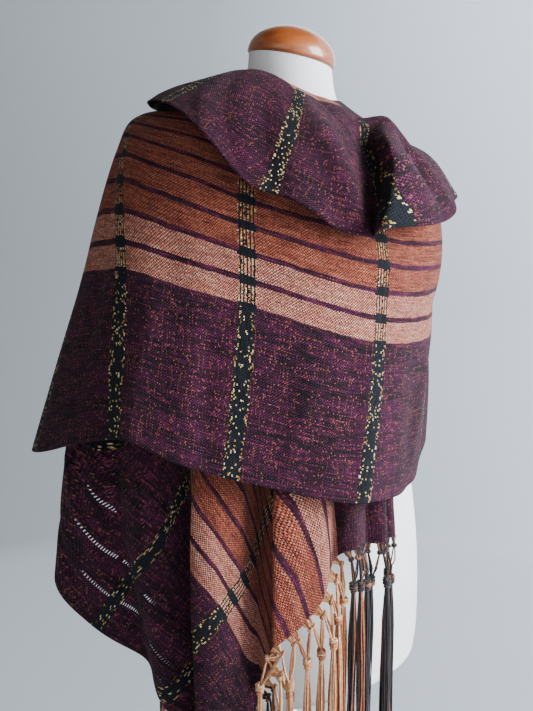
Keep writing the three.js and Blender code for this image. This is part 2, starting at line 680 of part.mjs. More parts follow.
addMesh(shawlOnForm, "form_torso", dressForm(), COLOURS.form, 0.85);
const cap = addMesh(shawlOnForm, "form_cap", neckCap(), COLOURS.wood, 0.35);
cap.rotation.y = Math.atan(NECK_TILT);
cap.position.set(0, 0, NECK_TOP + 2 * SEAM);
addMesh(shawlOnForm, "stand_pole", standPole(), COLOURS.steel, 0.3, 1);
addMesh(shawlOnForm, "stand_base", standBase(), COLOURS.steel, 0.4, 1);

export default shawlOnForm;
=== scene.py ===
# %% [markdown]
# # A handwoven shawl on a dress form
# The real piece is one long rectangle of coarse handwoven cloth. It is wound round the shoulders of a
# limbless dress form: one end hangs at the front under the outer turn, the outer turn crosses the
# front and the form's right shoulder, and the upper edge is folded over outwards as a collar.
# This lesson dresses a measured model of it. Lengths in the tables are millimetres.

import bisect
import math
import random
from functools import lru_cache

import bmesh
import bpy
from mathutils import Matrix, Vector, noise


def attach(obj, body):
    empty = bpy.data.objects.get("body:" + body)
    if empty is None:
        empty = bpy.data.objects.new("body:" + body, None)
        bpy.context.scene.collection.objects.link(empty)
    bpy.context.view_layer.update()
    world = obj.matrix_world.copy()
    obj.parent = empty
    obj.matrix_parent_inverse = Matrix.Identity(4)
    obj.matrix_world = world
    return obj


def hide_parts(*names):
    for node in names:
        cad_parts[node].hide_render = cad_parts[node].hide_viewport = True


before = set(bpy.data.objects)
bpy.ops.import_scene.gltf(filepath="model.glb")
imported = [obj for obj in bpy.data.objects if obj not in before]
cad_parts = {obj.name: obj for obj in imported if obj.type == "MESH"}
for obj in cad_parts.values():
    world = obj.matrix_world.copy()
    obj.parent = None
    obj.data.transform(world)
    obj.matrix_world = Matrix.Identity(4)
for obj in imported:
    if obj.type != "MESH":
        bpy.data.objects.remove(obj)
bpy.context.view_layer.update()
print("nodes:", ", ".join(sorted(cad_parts)))

# %% [markdown]
# ## Places on the cloth
# A cloth that is wound round a body is easiest to describe as the tailor pins it: a bearing round the
# form, a distance from its axis and a height. A few such places are known at the hem, the chest and
# the shoulder, and a smooth curve fills in what lies between. Straight lines would leave corners in
# the cloth, and one large surface patch could not be pinned where the form carries it.

# %% Smooth curves between pinned places
MM = 0.001


def smooth(places, values, at):
    last = len(places) - 1
    x = min(max(at, places[0]), places[last])
    i = min(max(bisect.bisect_left(places, x) - 1, 0), last - 1)

    def slope(k):
        a, b = max(k - 1, 0), min(k + 1, last)
        return (values[b] - values[a]) / (places[b] - places[a])

    span = places[i + 1] - places[i]
    t = (x - places[i]) / span
    rise = t * t * (3 - 2 * t)
    lead = (t - 2 * t * t + t ** 3) * span * slope(i)
    tail = (t ** 3 - t * t) * span * slope(i + 1)
    return values[i] + (values[i + 1] - values[i]) * rise + lead + tail


def smooth_place(places, rows, at):
    return [smooth(places, column, at) for column in zip(*rows)]


def ease(t):
    c = min(max(t, 0), 1)
    return c * c * (3 - 2 * c)


def point_at(place):
    bearing, radius, height = place
    b = math.radians(bearing)
    return Vector((radius * math.sin(b), -radius * math.cos(b), height)) * MM


def lip_push(lip, off):
    return smooth_place([row[0] for row in lip], [row[1:] for row in lip], off)


def fold_depth(folds, bearing):
    return sum(depth * math.exp(-((bearing - middle) / breadth) ** 2) for middle, breadth, depth in folds)


# %% [markdown]
# ## The dress form
# A form like this is a moulded torso under a jersey cover, cut off level at the hips and at a slope at
# the neck, with a turned wooden cap. Its sections are ellipses, so a table of half widths and half
# depths gives its shape, and the cloth rests on the same table.

# %% Sections of the form
FORM = [  # height, half width, half depth
    (447, 158, 106), (458, 168, 115), (520, 172, 118), (600, 168, 116), (680, 157, 108), (760, 138, 99),
    (820, 128, 95), (900, 137, 104), (970, 148, 111), (1020, 147, 102), (1050, 120, 86), (1072, 90, 68),
    (1090, 69, 57), (1104, 56, 51), (1120, 49, 48), (1151, 45, 45),
]
FORM_HEIGHTS, FORM_WIDTHS, FORM_DEPTHS = zip(*FORM)
# the solid cloth's wall, and how far it stands off the form and off the neck
WALL, SEAT, NECK_EASE = 2.2, 1.3, 1.1
NECK_STAND = {"collar": 1109, "panel": 1095, "under": 1070}
NECK_TOP, NECK_BEND, NECK_TILT = 1151, 1104, 0.23


@lru_cache(maxsize=None)
def form_section(height):
    return smooth(FORM_HEIGHTS, FORM_WIDTHS, height), smooth(FORM_HEIGHTS, FORM_DEPTHS, height)


def form_radius(bearing, height):
    width, depth = form_section(height)
    b = math.radians(bearing)
    return 1 / math.hypot(math.sin(b) / width, math.cos(b) / depth)


def resting_place(bearing, height):
    return [bearing, form_radius(bearing, height) + WALL / 2 + SEAT, height]


def neck_place(bearing, lift=0):
    bearing, radius, height = resting_place(bearing, NECK_STAND["panel"] + lift)
    return [bearing, radius + NECK_EASE, height]


# %% [markdown]
# ## Where the cloth is pinned
# A row of the main panel is a section across the cloth, given at a distance along the warp from one of
# its black weft bands, and its columns run from the hem up to the neck. The under end and the collar
# don't follow the warp, so their rows are given at a bearing, from the neck down. A soft fold is a ridge
# or a trough along a bearing. Where the cloth lies over a hollow, a ridge would look like a swelling, so
# a short table pushes the cloth out there and pulls it round past its own edge.

# %% Main panel and back wrap
PANEL = {
    -640: [(-160, 252, 470), (-184, 220, 625), (-200, 207, 722), (-211, 200, 786), (-219, 194, 846)],
    -500: [(-150, 262, 600), (-168, 218, 760), (-181, 199, 862), (-194, 186, 936), (-204, 178, 994)],
    -304: [(-128, 275, 718), (-146, 216, 885), (-156, 186, 1000), (-166, 158, 1058), (-176, 118, 1090)],
    -152: [(-102, 292, 738), (-116, 231, 915), (-125, 190, 1035), (-134, 150, 1093), (-138, 72, 1096)],
    0: [(-70, 268, 785), (-79, 225, 940), (-96, 190, 1057), (-104, 158, 1095), neck_place(-106)],
    76: [(-59, 245, 768), (-61, 205, 926), (-68, 180, 1038), (-72, 150, 1088), neck_place(-74)],
    152: [(-46, 220, 747), (-44, 185, 909), (-46, 165, 1014), (-48, 128, 1072), neck_place(-48)],
    304: [(-8, 185, 710), (2, 165, 865), (5, 154, 974), (6, 120, 1042), neck_place(6)],
    456: [(42, 150, 703), (50, 159, 857), (53, 168, 962), (57, 144, 1034), neck_place(58)],
    590: [(84, 162, 768), (91, 164, 884), (95, 162, 972), (97, 148, 1032), neck_place(98)],
}
WRAP = {
    0: PANEL[590],
    120: [(128, 164, 742), (130, 156, 870), (132, 150, 968), (134, 132, 1042), neck_place(135, -11)],
    270: [(176, 158, 712), (177, 146, 865), (178, 136, 975), (178, 112, 1052), neck_place(178, -11)],
    420: [(222, 188, 730), (220, 168, 880), (219, 158, 985), (218, 134, 1054), neck_place(218, -11)],
}
PANEL_WIDTHS = [0, 180, 300, 390, 470]
CHEST, PANEL_TOP = 300, 470
PANEL_START, PANEL_LIMIT = -640, 590
WRAP_WAVE, WRAP_WAVE_LENGTH, WRAP_STILL = 4, 22, 90
PANEL_FOLDS = [  # bearing, breadth, depth
    (-176, 7, 10), (-160, 6, -12), (-143, 7, 9), (-128, 6, -11), (-92, 8, -6),
    (-58, 7, 5), (-33, 8, -5), (-8, 8, 4), (24, 8, -5), (62, 8, 7),
]


@lru_cache(maxsize=None)
def section(inner, along):
    rows = WRAP if inner else PANEL
    return [smooth_place(list(rows), column, along) for column in zip(*rows.values())]


def panel_place(along, across):
    place = smooth_place(PANEL_WIDTHS, section(False, along), across)
    place[1] += fold_depth(PANEL_FOLDS, place[0]) * ease(1 - across / CHEST)
    return place


def wrap_place(along, across):
    place = smooth_place(PANEL_WIDTHS, section(True, along), across)
    wave = WRAP_WAVE * math.sin(along / WRAP_WAVE_LENGTH)
    place[1] += wave * ease(1 - across / CHEST) * ease(along / WRAP_STILL)
    return place


# %% Under end
UNDER = [  # bearing, then radius and height on the shoulder, under the panel, at its hem and low down
    (-128, (158, 1010), (226, 840), (246, 740), (250, 655)),
    (-109, (166, 1010), (232, 840), (252, 710), (268, 584)),
    (-97, (170, 1010), (222, 840), (244, 706), (237, 542)),
    (-85, (168, 1010), (210, 840), (230, 702), (201, 501)),
    (-70, (158, 1010), (198, 840), (214, 696), (191, 453)),
    (-55, (148, 1010), (184, 840), (203, 694), (194, 409)),
    (-47, (138, 1010), (176, 842), (197, 694), (192, 452)),
    (-40, (132, 1010), (170, 844), (190, 696), (187, 502)),
    (-30, (126, 1010), (160, 846), (180, 700), (180, 562)),
    (-20, (122, 1010), (152, 848), (171, 706), (173, 604)),
    (-11, (120, 1010), (146, 850), (164, 712), (166, 650)),
    (5, (120, 1010), (141, 850), (152, 714), (156, 648)),
    (21, (122, 1010), (138, 850), (142, 714), (147, 643)),
]
UNDER_BEARINGS = [row[0] for row in UNDER]
UNDER_FIRST, UNDER_LAST = -128, 21
UNDER_STEPS = [0, 0.16, 0.42, 0.64, 1]
# where the fringed edge starts, and where its yarns turn from tan to dark
CORNER_BEARING, DARK_BEARING = -54, -12
UNDER_FOLDS = [  # bearing, breadth, depth
    (-117, 5, -9), (-103, 8, 9), (-86, 5, -12), (-75, 5, 4), (-65, 4.2, -28), (-43, 4.6, -35),
    (-25, 3.2, -5), (-14.5, 2.6, -11), (-7, 3.4, 7), (2, 2.8, -9), (9, 3, 6), (15, 2.4, -6),
]
UNDER_HANG_FROM, UNDER_HANG_RUN = 0.2, 0.5
# two of its folds lie over a hollow on their left, with a crisp edge
UNDER_LIPS = [-54, -31]
HANGING_LIP = [  # bearing off the lip, then how far the cloth stands out and how far it is pulled round
    (-9, 0, 0), (-6, -3, 0), (-3.5, -5, -0.6), (-1.5, -1, -3), (-0.5, 6, -4.6), (0.5, 10, -5), (2, 11, -4),
    (4.5, 10, -1.5), (8, 6, 0), (14, 0, 0),
]


@lru_cache(maxsize=None)
def under_section(bearing):
    neck = resting_place(bearing, NECK_STAND["under"])[1:]
    pairs = [smooth_place(UNDER_BEARINGS, column, bearing) for column in list(zip(*UNDER))[1:]]
    lips = [lip_push(HANGING_LIP, bearing - lip) for lip in UNDER_LIPS]
    out, pulled = [sum(column) for column in zip(*lips)]
    return [neck] + pairs, fold_depth(UNDER_FOLDS, bearing) + out, pulled


def under_place(bearing, down):
    pairs, fold, pulled = under_section(bearing)
    radius, height = smooth_place(UNDER_STEPS, pairs, down)
    hang = ease((down - UNDER_HANG_FROM) / UNDER_HANG_RUN)
    return [bearing + pulled * hang, radius + fold * hang, height]


# %% Collar
COLLAR = [  # bearing, then radius and height on the roll, on the spread and at the low edge
    (-180, (90, 1120), (112, 1110), (150, 1080)), (-146, (112, 1116), (132, 1112), (154, 1096)),
    (-114, (132, 1115), (144, 1113), (155, 1106)), (-88, (114, 1126), (138, 1120), (162, 1107)),
    (-70, (86, 1138), (138, 1115), (174, 1097)), (-56, (82, 1137), (140, 1106), (178, 1066)),
    (-45, (80, 1132), (142, 1097), (182, 1030)), (-30, (80, 1121), (140, 1085), (184, 1012)),
    (-14, (82, 1111), (138, 1074), (186, 984)), (2, (90, 1102), (138, 1062), (190, 981)),
    (17, (103, 1084), (142, 1055), (194, 985)), (29, (117, 1090), (130, 1052), (193, 992)),
    (40, (117, 1067), (148, 1052), (187, 1002)), (60, (108, 1073), (152, 1051), (184, 1008)),
    (95, (90, 1090), (138, 1060), (172, 1014)),
    (135, (86, 1106), (116, 1088), (154, 1046)), (180, (90, 1120), (112, 1110), (150, 1080)),
]
COLLAR_BEARINGS = [row[0] for row in COLLAR]
COLLAR_STEPS = [0, 0.14, 0.3, 0.6, 1]
COLLAR_FOLDS = [  # bearing on the roll, bearing at the low edge, breadth, depth
    (-78, -58, 6, 5), (-52, -36, 6, -6), (-38, -6, 6, 9),
    (42, 46, 8, -6), (72, 70, 9, 6), (112, 112, 9, -6), (150, 150, 9, 5),
]
# the lobe's lip lies over a hollow: its bearing from the roll down to the low edge
LIP_DOWN = [0.2, 0.36, 0.66, 0.84, 1]
LIP_BEARINGS = [25.5, 21.5, 14.5, 8.5, 1.5]
LIP = [  # bearing off the lip, then how far the cloth stands out and how far it is pulled round
    (-34, 0, 0), (-26, -3, 0), (-19, -8, 0), (-13, -15, 0), (-9, -20, 0), (-5, -22, 0), (-3, -16, -2),
    (-1.5, -2, -5.5), (-0.5, 10, -7.5), (0.5, 14, -8), (2, 14.5, -7), (5, 13, -3.5), (10, 9, -1), (20, 0, 0),
]
FOLD_FROM, FOLD_RUN, LIP_RUN, FOLD_LIFT = 0.3, 0.45, 0.25, 0.35
# the collar's inside lies between the neck and the roll, and dips behind the crest of the lobe
INSIDE_IN, INSIDE_UP = 6, 3
DIP_BEARING, DIP_BREADTH, DIP_DEPTH = 25, 12, 13


@lru_cache(maxsize=None)
def collar_section(bearing):
    neck = resting_place(bearing, NECK_STAND["collar"])[1:]
    columns = list(zip(*COLLAR))[1:]
    roll, spread, low = [smooth_place(COLLAR_BEARINGS, column, bearing) for column in columns]
    dip = DIP_DEPTH * math.exp(-((bearing - DIP_BEARING) / DIP_BREADTH) ** 2)
    inside = [(neck[0] + roll[0]) / 2 - INSIDE_IN, (neck[1] + roll[1]) / 2 + INSIDE_UP - dip]
    return [neck, inside, roll, spread, low]


def collar_place(bearing, down):
    radius, height = smooth_place(COLLAR_STEPS, collar_section(bearing), down)
    folds = [(first + (last - first) * down, breadth, depth) for first, last, breadth, depth in COLLAR_FOLDS]
    off_lip = bearing - smooth(LIP_DOWN, LIP_BEARINGS, down)
    lip_out, lip_round = lip_push(LIP, off_lip)
    fold_reach = ease((down - FOLD_FROM) / FOLD_RUN)
    lip_reach = ease((down - FOLD_FROM) / LIP_RUN)
    fold = fold_depth(folds, bearing) * fold_reach + lip_out * lip_reach
    return [bearing + lip_round * lip_reach, radius + fold, height + FOLD_LIFT * fold]


print("main panel hem at its first band:", [round(x, 3) for x in point_at(panel_place(0, 0))])

# %% [markdown]
# ## Camera
# The photograph is taken from the form's right front, a little above the shoulder and looking down.
# The camera comes first, so that every piece can be looked at from there.

# %% Camera at the photograph's place
CAMERA_PLACE = (-0.6075, -1.0002, 1.060)
CAMERA_DOWN, CAMERA_TURN, CAMERA_LENS = 11.3, -30, 52.66

camera_data = bpy.data.cameras.new("photo_camera")
camera_data.lens = CAMERA_LENS
camera_data.sensor_width = 36
camera = bpy.data.objects.new("photo_camera", camera_data)
camera.location = CAMERA_PLACE
camera.rotation_euler = (math.radians(90 - CAMERA_DOWN), 0, math.radians(CAMERA_TURN))
bpy.context.scene.collection.objects.link(camera)
bpy.context.scene.camera = camera
print("camera", tuple(round(x, 3) for x in camera.location))


# %% [markdown]
# ## Cloth from a flat grid
# Cloth starts flat, so each stretch starts as a flat grid. Its map keeps the place on the loom, in
# metres of warp and weft, and then each point is moved to where the cloth is pinned. The soft creases
# push the surface along its own normal. A simulation would lose the pinned folds of the photograph.

# %% A stretch of cloth
CLOTH_THICK = 0.0018
SAME_PLACE = 1e-5
WAVE_DEPTH, WAVES_ALONG, WAVES_ACROSS = 0.7, 9, 5


def new_object(name, bm):
    mesh = bpy.data.meshes.new(name)
    bm.to_mesh(mesh)
    bm.free()
    mesh.shade_smooth()
    piece = bpy.data.objects.new(name, mesh)
    bpy.context.scene.collection.objects.link(piece)
    return piece


def crease_depth(creases, x, y):
    total = 0
    for x0, y0, x1, y1, breadth, depth in creases:
        dx, dy = x1 - x0, y1 - y0
        run = ((x - x0) * dx + (y - y0) * dy) / (dx * dx + dy * dy)
        near = min(max(run, 0), 1)
        off = math.hypot(x - x0 - near * dx, y - y0 - near * dy) / breadth
        total += depth * math.exp(-off * off)
    return total


def cloth_stretch(name, place, columns_and_rows, lay, crease, joined=False):
    bm = bmesh.new()
    columns, rows = columns_and_rows
    bmesh.ops.create_grid(bm, x_segments=columns, y_segments=rows, size=0.5)
    flat = {vert: (vert.co.x + 0.5, vert.co.y + 0.5) for vert in bm.verts}
    cloth_map = bm.loops.layers.uv.new("Cloth")
    for face in bm.faces:
        for loop in face.loops:
            u, v = lay(*flat[loop.vert])
            loop[cloth_map].uv = (u * MM, v * MM)
    for vert, (s, t) in flat.items():
        vert.co = point_at(place(s, t))
    if joined:
        bmesh.ops.remove_doubles(bm, verts=bm.verts, dist=SAME_PLACE)
    bm.normal_update()
    pushes = [(vert, vert.normal * crease(*flat[vert]) * MM) for vert in bm.verts]
    for vert, push in pushes:
        vert.co += push
    piece = new_object(name, bm)
    thickness = piece.modifiers.new("Wall", "SOLIDIFY")
    thickness.thickness = CLOTH_THICK
    thickness.offset = 0
    print(name, len(piece.data.polygons), "faces before its wall")
    return piece


# %% Main panel
def between(first, last, t):
    return first + (last - first) * t


def waviness(s, t, seed):
    return WAVE_DEPTH * noise.noise(Vector((s * WAVES_ALONG, t * WAVES_ACROSS, seed)))


def panel_spot(s, t):
    return between(PANEL_START, PANEL_LIMIT, s), between(0, PANEL_TOP, t)


PANEL_CREASES = [  # start and end as along and across, then breadth and depth
    (-60, 40, -20, 300, 16, -3.0), (20, 10, 45, 170, 14, 2.5), (70, 220, 235, 330, 18, -2.5),
    (120, 20, 110, 130, 12, -2.5), (180, 330, 330, 250, 16, 2.2), (210, 15, 225, 120, 13, 2.4),
    (285, 30, 270, 160, 15, -2.8), (330, 300, 470, 210, 18, -3.0), (400, 20, 420, 140, 14, 2.6),
    (480, 120, 560, 300, 18, -3.0), (-150, 30, -120, 200, 14, -3.0), (-240, 160, -190, 400, 18, -3.2),
    (-330, 20, -300, 180, 15, 3.0), (-420, 60, -360, 330, 20, -4.0), (-560, 120, -500, 420, 20, 3.5),
]
main_panel = cloth_stretch(
    "shawl_main_panel",
    lambda s, t: panel_place(*panel_spot(s, t)),
    (246, 94),
    panel_spot,
    lambda s, t: crease_depth(PANEL_CREASES, *panel_spot(s, t)) + waviness(s, t, 1),
)


# %% Back wrap
WRAP_START, WRAP_LIMIT = 1.4, 420


def wrap_spot(s, t):
    return between(WRAP_START, WRAP_LIMIT, s), between(0, PANEL_TOP, t)


WRAP_CREASES = [  # start and end as along and across, then breadth and depth
    (60, 30, 80, 240, 16, -3.0), (170, 60, 150, 330, 18, 3.0), (280, 20, 300, 220, 15, -3.5),
    (360, 150, 380, 380, 16, 2.5),
]
back_wrap = cloth_stretch(
    "shawl_back_wrap",
    lambda s, t: wrap_place(*wrap_spot(s, t)),
    (84, 94),
    lambda s, t: (PANEL_LIMIT + wrap_spot(s, t)[0], wrap_spot(s, t)[1]),
    lambda s, t: crease_depth(WRAP_CREASES, *wrap_spot(s, t)) + waviness(s, t, 2),
)


# %% [markdown]
# ## The end that hangs underneath
# This end hangs by its corner, so the weave runs at a slant in it. Its lower left edge is the selvedge
# and its lower right edge is the fringed end. The map says where each hanging point lies on the loom.

# %% Under end
UNDER_LAY = [  # share of the low edge, then the weft place there and at the hem, then the warp place
    (0, 0, 81, -120, -128), (0.13, 0, 69, -60, -116), (0.22, 0, 76, -12, -110),
    (0.27, 0, 90, 45, -104), (0.35, 0, 100, 149, -74), (0.39, 0, 108, 180, -36),
    (0.42, 0, 130, 205, 5), (0.45, 2, 168, 224, 34), (0.49, 10, 216, 250, 55),
    (0.53, 35, 244, 264, 73), (0.56, 85, 265, 265, 88), (0.59, 130, 286, 265, 104),
    (0.63, 155, 330, 265, 130), (0.67, 192, 380, 265, 152), (0.70, 290, 410, 265, 170),
    (0.72, 350, 424, 265, 178), (0.76, 392, 441, 265, 182), (0.82, 450, 474, 265, 188),
    (0.86, 488, 500, 265, 192), (0.9, 550, 555, 265, 196), (1, 682, 678, 265, 200),
]
LAY_SHARES = [row[0] for row in UNDER_LAY]
LAY_HEIGHT = 700
EDGE_STEPS = 400
UNDER_COLUMNS = 340


def even_bearings(first, last, count):
    lengths, before = [0], point_at(under_place(first, 1))
    for i in range(1, EDGE_STEPS + 1):
        point = point_at(under_place(between(first, last, i / EDGE_STEPS), 1))
        lengths.append(lengths[-1] + (point - before).length)
        before = point
    bearings = []
    for n in range(count + 1):
        wanted = lengths[-1] * n / count
        i = min(max(bisect.bisect_left(lengths, wanted) - 1, 0), EDGE_STEPS - 1)
        part = (wanted - lengths[i]) / (lengths[i + 1] - lengths[i])
        bearings.append(between(first, last, (i + min(part, 1)) / EDGE_STEPS))
    return bearings


under_bearings = even_bearings(UNDER_FIRST, UNDER_LAST, UNDER_COLUMNS)


def under_spot(s, t):
    return under_bearings[min(round(s * UNDER_COLUMNS), UNDER_COLUMNS)], 1 - t


@lru_cache(maxsize=None)
def lay_section(bearing):
    column = min(max(bisect.bisect_left(under_bearings, bearing), 1), UNDER_COLUMNS)
    before, after = under_bearings[column - 1], under_bearings[column]
    share = (column - 1 + (bearing - before) / (after - before)) / UNDER_COLUMNS
    return smooth_place(LAY_SHARES, [row[1:] for row in UNDER_LAY], share), under_place(bearing, 1)[2]


def under_lay(bearing, down):
    (v_low, v_hem, u_low, u_hem), low = lay_section(bearing)
    up = (under_place(bearing, down)[2] - low) / (LAY_HEIGHT - low)
    return between(u_low, u_hem, up), between(v_low, v_hem, up)


UNDER_MAP = (870, 600)
UNDER_CREASES = [  # start and end along the low edge and down, in steps of that map, then breadth and depth
    (60, 380, 170, 540, 14, -2.5), (150, 360, 240, 520, 12, 2.2), (30, 400, 90, 560, 13, 2.0),
    (470, 400, 520, 560, 10, -2.0), (640, 380, 690, 520, 9, 1.8), (780, 400, 770, 560, 8, -1.5),
]


def under_crease(s, t):
    return crease_depth(UNDER_CREASES, s * UNDER_MAP[0], (1 - t) * UNDER_MAP[1]) + waviness(s, t, 3)


under_end = cloth_stretch(
    "shawl_under_end",
    lambda s, t: under_place(*under_spot(s, t)),
    (UNDER_COLUMNS, 96),
    lambda s, t: under_lay(*under_spot(s, t)),
    under_crease,
)

# %% [markdown]
# ## The folded collar
# The collar is a closed ring, so its two ends meet at the back and are joined there. The lobe at the
# form's left has the most folds, and an even grid would be too coarse for them, so more of the columns
# go to the front. Its weave keeps the warp of the panel below it, drawn together where the roll is short.

# %% Collar
COLLAR_WARP = [  # warp place, then its bearing on the roll and at the low edge
    (-456, -180, -180), (-186, -90, -90), (0, -24.3, -38), (152, 15, 5), (304, 66, 55), (456, 96, 94),
    (610, 180, 180),
]
ROLL_DOWN = 0.3
PEACH_DOWN = [  # bearing, and how far down the collar the dark edge zone starts
    (-180, 0.2), (-90, 0.2), (-45, 0.2), (-36, 0.27), (-28, 0.35), (-16, 0.34), (-3, 0.33),
    (8, 0.28), (12, 0.2), (16, 0.06), (22, 0.02), (60, 0.02), (180, 0.2),
]
CLOTH_WIDTH = 680
EDGE_ZONE = 180
# a share of the columns, and the bearing that it reaches
COLLAR_SHARES = [0, 0.28, 0.72, 1]
SHARE_BEARINGS = [-180, -42, 46, 180]


def collar_spot(s, t):
    return smooth(COLLAR_SHARES, SHARE_BEARINGS, s), 1 - t


def collar_lay(bearing, down):
    up = (1 - down) / (1 - ROLL_DOWN)
    places = [between(low, roll, up) for _, roll, low in COLLAR_WARP]
    warp = smooth(places, [row[0] for row in COLLAR_WARP], bearing)
    start = smooth([row[0] for row in PEACH_DOWN], [row[1] for row in PEACH_DOWN], bearing)
    return warp, CLOTH_WIDTH - EDGE_ZONE * (1 - down) / (1 - start)


COLLAR_CREASES = [  # start and end as a bearing and a distance down from the neck, then breadth and depth
    (-160, 20, -158, 50, 5, -1.6), (-128, 24, -134, 56, 5, 1.8), (-66, 20, -50, 56, 4, -1.6),
    (-24, 22, -8, 50, 3.5, 1.6), (-12, 20, 0, 40, 3, -1.4), (36, 26, 44, 58, 4, 1.8),
    (82, 22, 76, 56, 5, -2.0), (128, 20, 122, 54, 5, 1.8), (165, 26, 170, 58, 5, -1.8),
]
COLLAR_DROP, COLLAR_JOIN = 60, 0.03


def collar_crease(s, t):
    bearing, down = collar_spot(s, t)
    off_join = ease((1 - abs(bearing) / 180) / COLLAR_JOIN)
    return crease_depth(COLLAR_CREASES, bearing, down * COLLAR_DROP) * off_join


collar = cloth_stretch(
    "shawl_collar",
    lambda s, t: collar_place(*collar_spot(s, t)),
    (400, 64),
    lambda s, t: collar_lay(*collar_spot(s, t)),
    collar_crease,
    joined=True,
)

# %% [markdown]
# ## Nodes with short names
# A woven pattern is arithmetic on two numbers, the place along the warp and the place across it, so it
# needs many small nodes. A helper with short calls keeps each pattern readable. A painted image would
# also work, but it would blur up close and could not follow the yarns.

# %% Material helper
def paint(code):
    parts = [int(code[k:k + 2], 16) / 255 for k in (1, 3, 5)]
    return tuple(p / 12.92 if p < 0.04045 else ((p + 0.055) / 1.055) ** 2.4 for p in parts) + (1.0,)


class Finish:
    def __init__(self, name):
        self.material = bpy.data.materials.new(name)
        self.material.use_nodes = True
        self.tree = self.material.node_tree
        self.shader = self.tree.nodes["Principled BSDF"]

    def node(self, kind, *values, **settings):
        made = self.tree.nodes.new(kind)
        for key, value in settings.items():
            setattr(made, key, value)
        for socket, value in zip(made.inputs, values):
            self.put(socket, value)
        return made

    def put(self, socket, value):
        if isinstance(value, bpy.types.NodeSocket):
            self.tree.links.new(value, socket)
        elif value is not None:
            socket.default_value = value

    def maths(self, operation, *values):
        return self.node("ShaderNodeMath", *values, operation=operation).outputs[0]

    def scaled(self, value, factor, start=0.0):
        return self.maths("MULTIPLY_ADD", value, factor, start)

    def below(self, value, limit):
        return self.maths("LESS_THAN", value, limit)

    def above(self, value, limit):
        return self.maths("GREATER_THAN", value, limit)

    def either(self, a, b):
        return self.maths("MAXIMUM", a, b)

    def both(self, a, b):
        return self.maths("MULTIPLY", a, b)

    def without(self, a, b):
        return self.both(a, self.maths("SUBTRACT", 1.0, b))

    def mix(self, share, a, b):
        made = self.node("ShaderNodeMix", data_type="RGBA")
        self.put(made.inputs[0], share)
        self.put(made.inputs[6], a)
        self.put(made.inputs[7], b)
        return made.outputs[2]

    def object_place(self):
        return self.node("ShaderNodeTexCoord").outputs["Object"]

    def turned_place(self, turn, scale):
        made = self.node("ShaderNodeMapping", self.object_place())
        made.inputs["Rotation"].default_value = turn
        made.inputs["Scale"].default_value = scale
        return made.outputs[0]

    def vector(self, x, y, z=0.0):
        return self.node("ShaderNodeCombineXYZ", x, y, z).outputs[0]

    def noise(self, place, scale, detail=2.0):
        return self.node("ShaderNodeTexNoise", place, None, scale, detail).outputs[0]

    def specks(self, place):
        return self.node("ShaderNodeTexWhiteNoise", place, noise_dimensions="3D").outputs[0]

    def ramp(self, share, stops):
        made = self.node("ShaderNodeValToRGB", share)
        while len(made.color_ramp.elements) < len(stops):
            made.color_ramp.elements.new(1.0)
        for element, (place, colour) in zip(made.color_ramp.elements, stops):
            element.position = place
            element.color = paint(colour)
        return made.outputs[0]

    def bump(self, height, distance, strength):
        made = self.node("ShaderNodeBump")
        self.put(made.inputs["Strength"], strength)
        self.put(made.inputs["Distance"], distance)
        self.put(made.inputs["Height"], height)
        self.put(self.shader.inputs["Normal"], made.outputs[0])

    def surface(self, **values):
        for key, value in values.items():
            self.put(self.shader.inputs[key.replace("_", " ")], value)

    def dress(self, piece):
        piece.data.materials.append(self.material)
        return piece


# %% [markdown]
# ## Handwoven cloth
# The cloth is a plain weave of coarse yarns. Warp stripes run along it: a dark aubergine zone at each
# edge, then peach, then rust with thin purple pins. Every hand's breadth the weaver put in a ribbon of
# black weft with gold lurex. The material computes all of this from the place on the loom, so stripes,
# ribbons and yarns bend with every fold.

# %% Measures of the weave, in metres
THREAD = 0.00158
DRIFT_GRAIN, DRIFT_ALONG, DRIFT_ACROSS = 55.0, 0.004, 0.003
EDGE, MIDDLE = EDGE_ZONE * MM, CLOTH_WIDTH / 2 * MM
PEACH_BREADTH = 0.056
PIN_STEP, PIN_HALF, PIN_OVERLAP = 0.02909, 0.0028, 0.004
BAND_STEP, BAND_HALF = 0.152, 0.0098
FRAY, FRAY_IN, FRAY_CELL = 0.0022, 0.0014, 0.0031
RIM_SHARE, BLOCK_SHARE = 0.58, 1.8
COLUMN_STEP, COLUMN_GAP = 0.0038, 0.00075
GLINT_ALONG, GLINT_ACROSS = 0.0015, 0.0019
OPEN_STEP, OPEN_HALF, OPEN_PITCH, OPEN_SLOT = 0.0285, 0.0017, 0.0034, 0.17
OPEN_FROM, OPEN_TO = 0.012, 0.128

# how far the weft covers the warp, in the light zone and what the dark zone adds
WEFT_COVER, WEFT_COVER_DARK = -0.28, 0.22
# changes in a metre of yarn, and from one yarn to the next
WARP_CHANGES, WARP_NEXT = 34.0, 0.71
WEFT_CHANGES, WEFT_NEXT = 40.0, 0.83
STREAKS_ALONG, STREAKS_ACROSS = 11.0, 62.0
PATCHES_ALONG, PATCHES_ACROSS, PATCHES_OPEN = 23.0, 17.0, 0.45

# each crossing draws a number from 0 to 1, and from these limits up it is a fleck, a dash or gold
FLECK_FROM, DASH_FROM, GOLD_FROM = 0.92, 0.24, 0.66
DARK_GOLD_FROM, RIM_GOLD = 0.94, -0.14

# how a tone follows the round of a yarn, a drawn number or a streak: a factor and a start
YARN_TONE, FLECK_TONE, RIBBON_TONE, PLUM_SHARE = (0.75, 0.30), (0.82, 0.44), (0.5, 0.5), (1.7, -0.72)
LUREX_SHADES = 9.0
GLINT_RELIEF, FLECK_RELIEF = (1.2, 0.4), 0.5
RELIEF, RELIEF_STRENGTH = 0.0009, 0.9

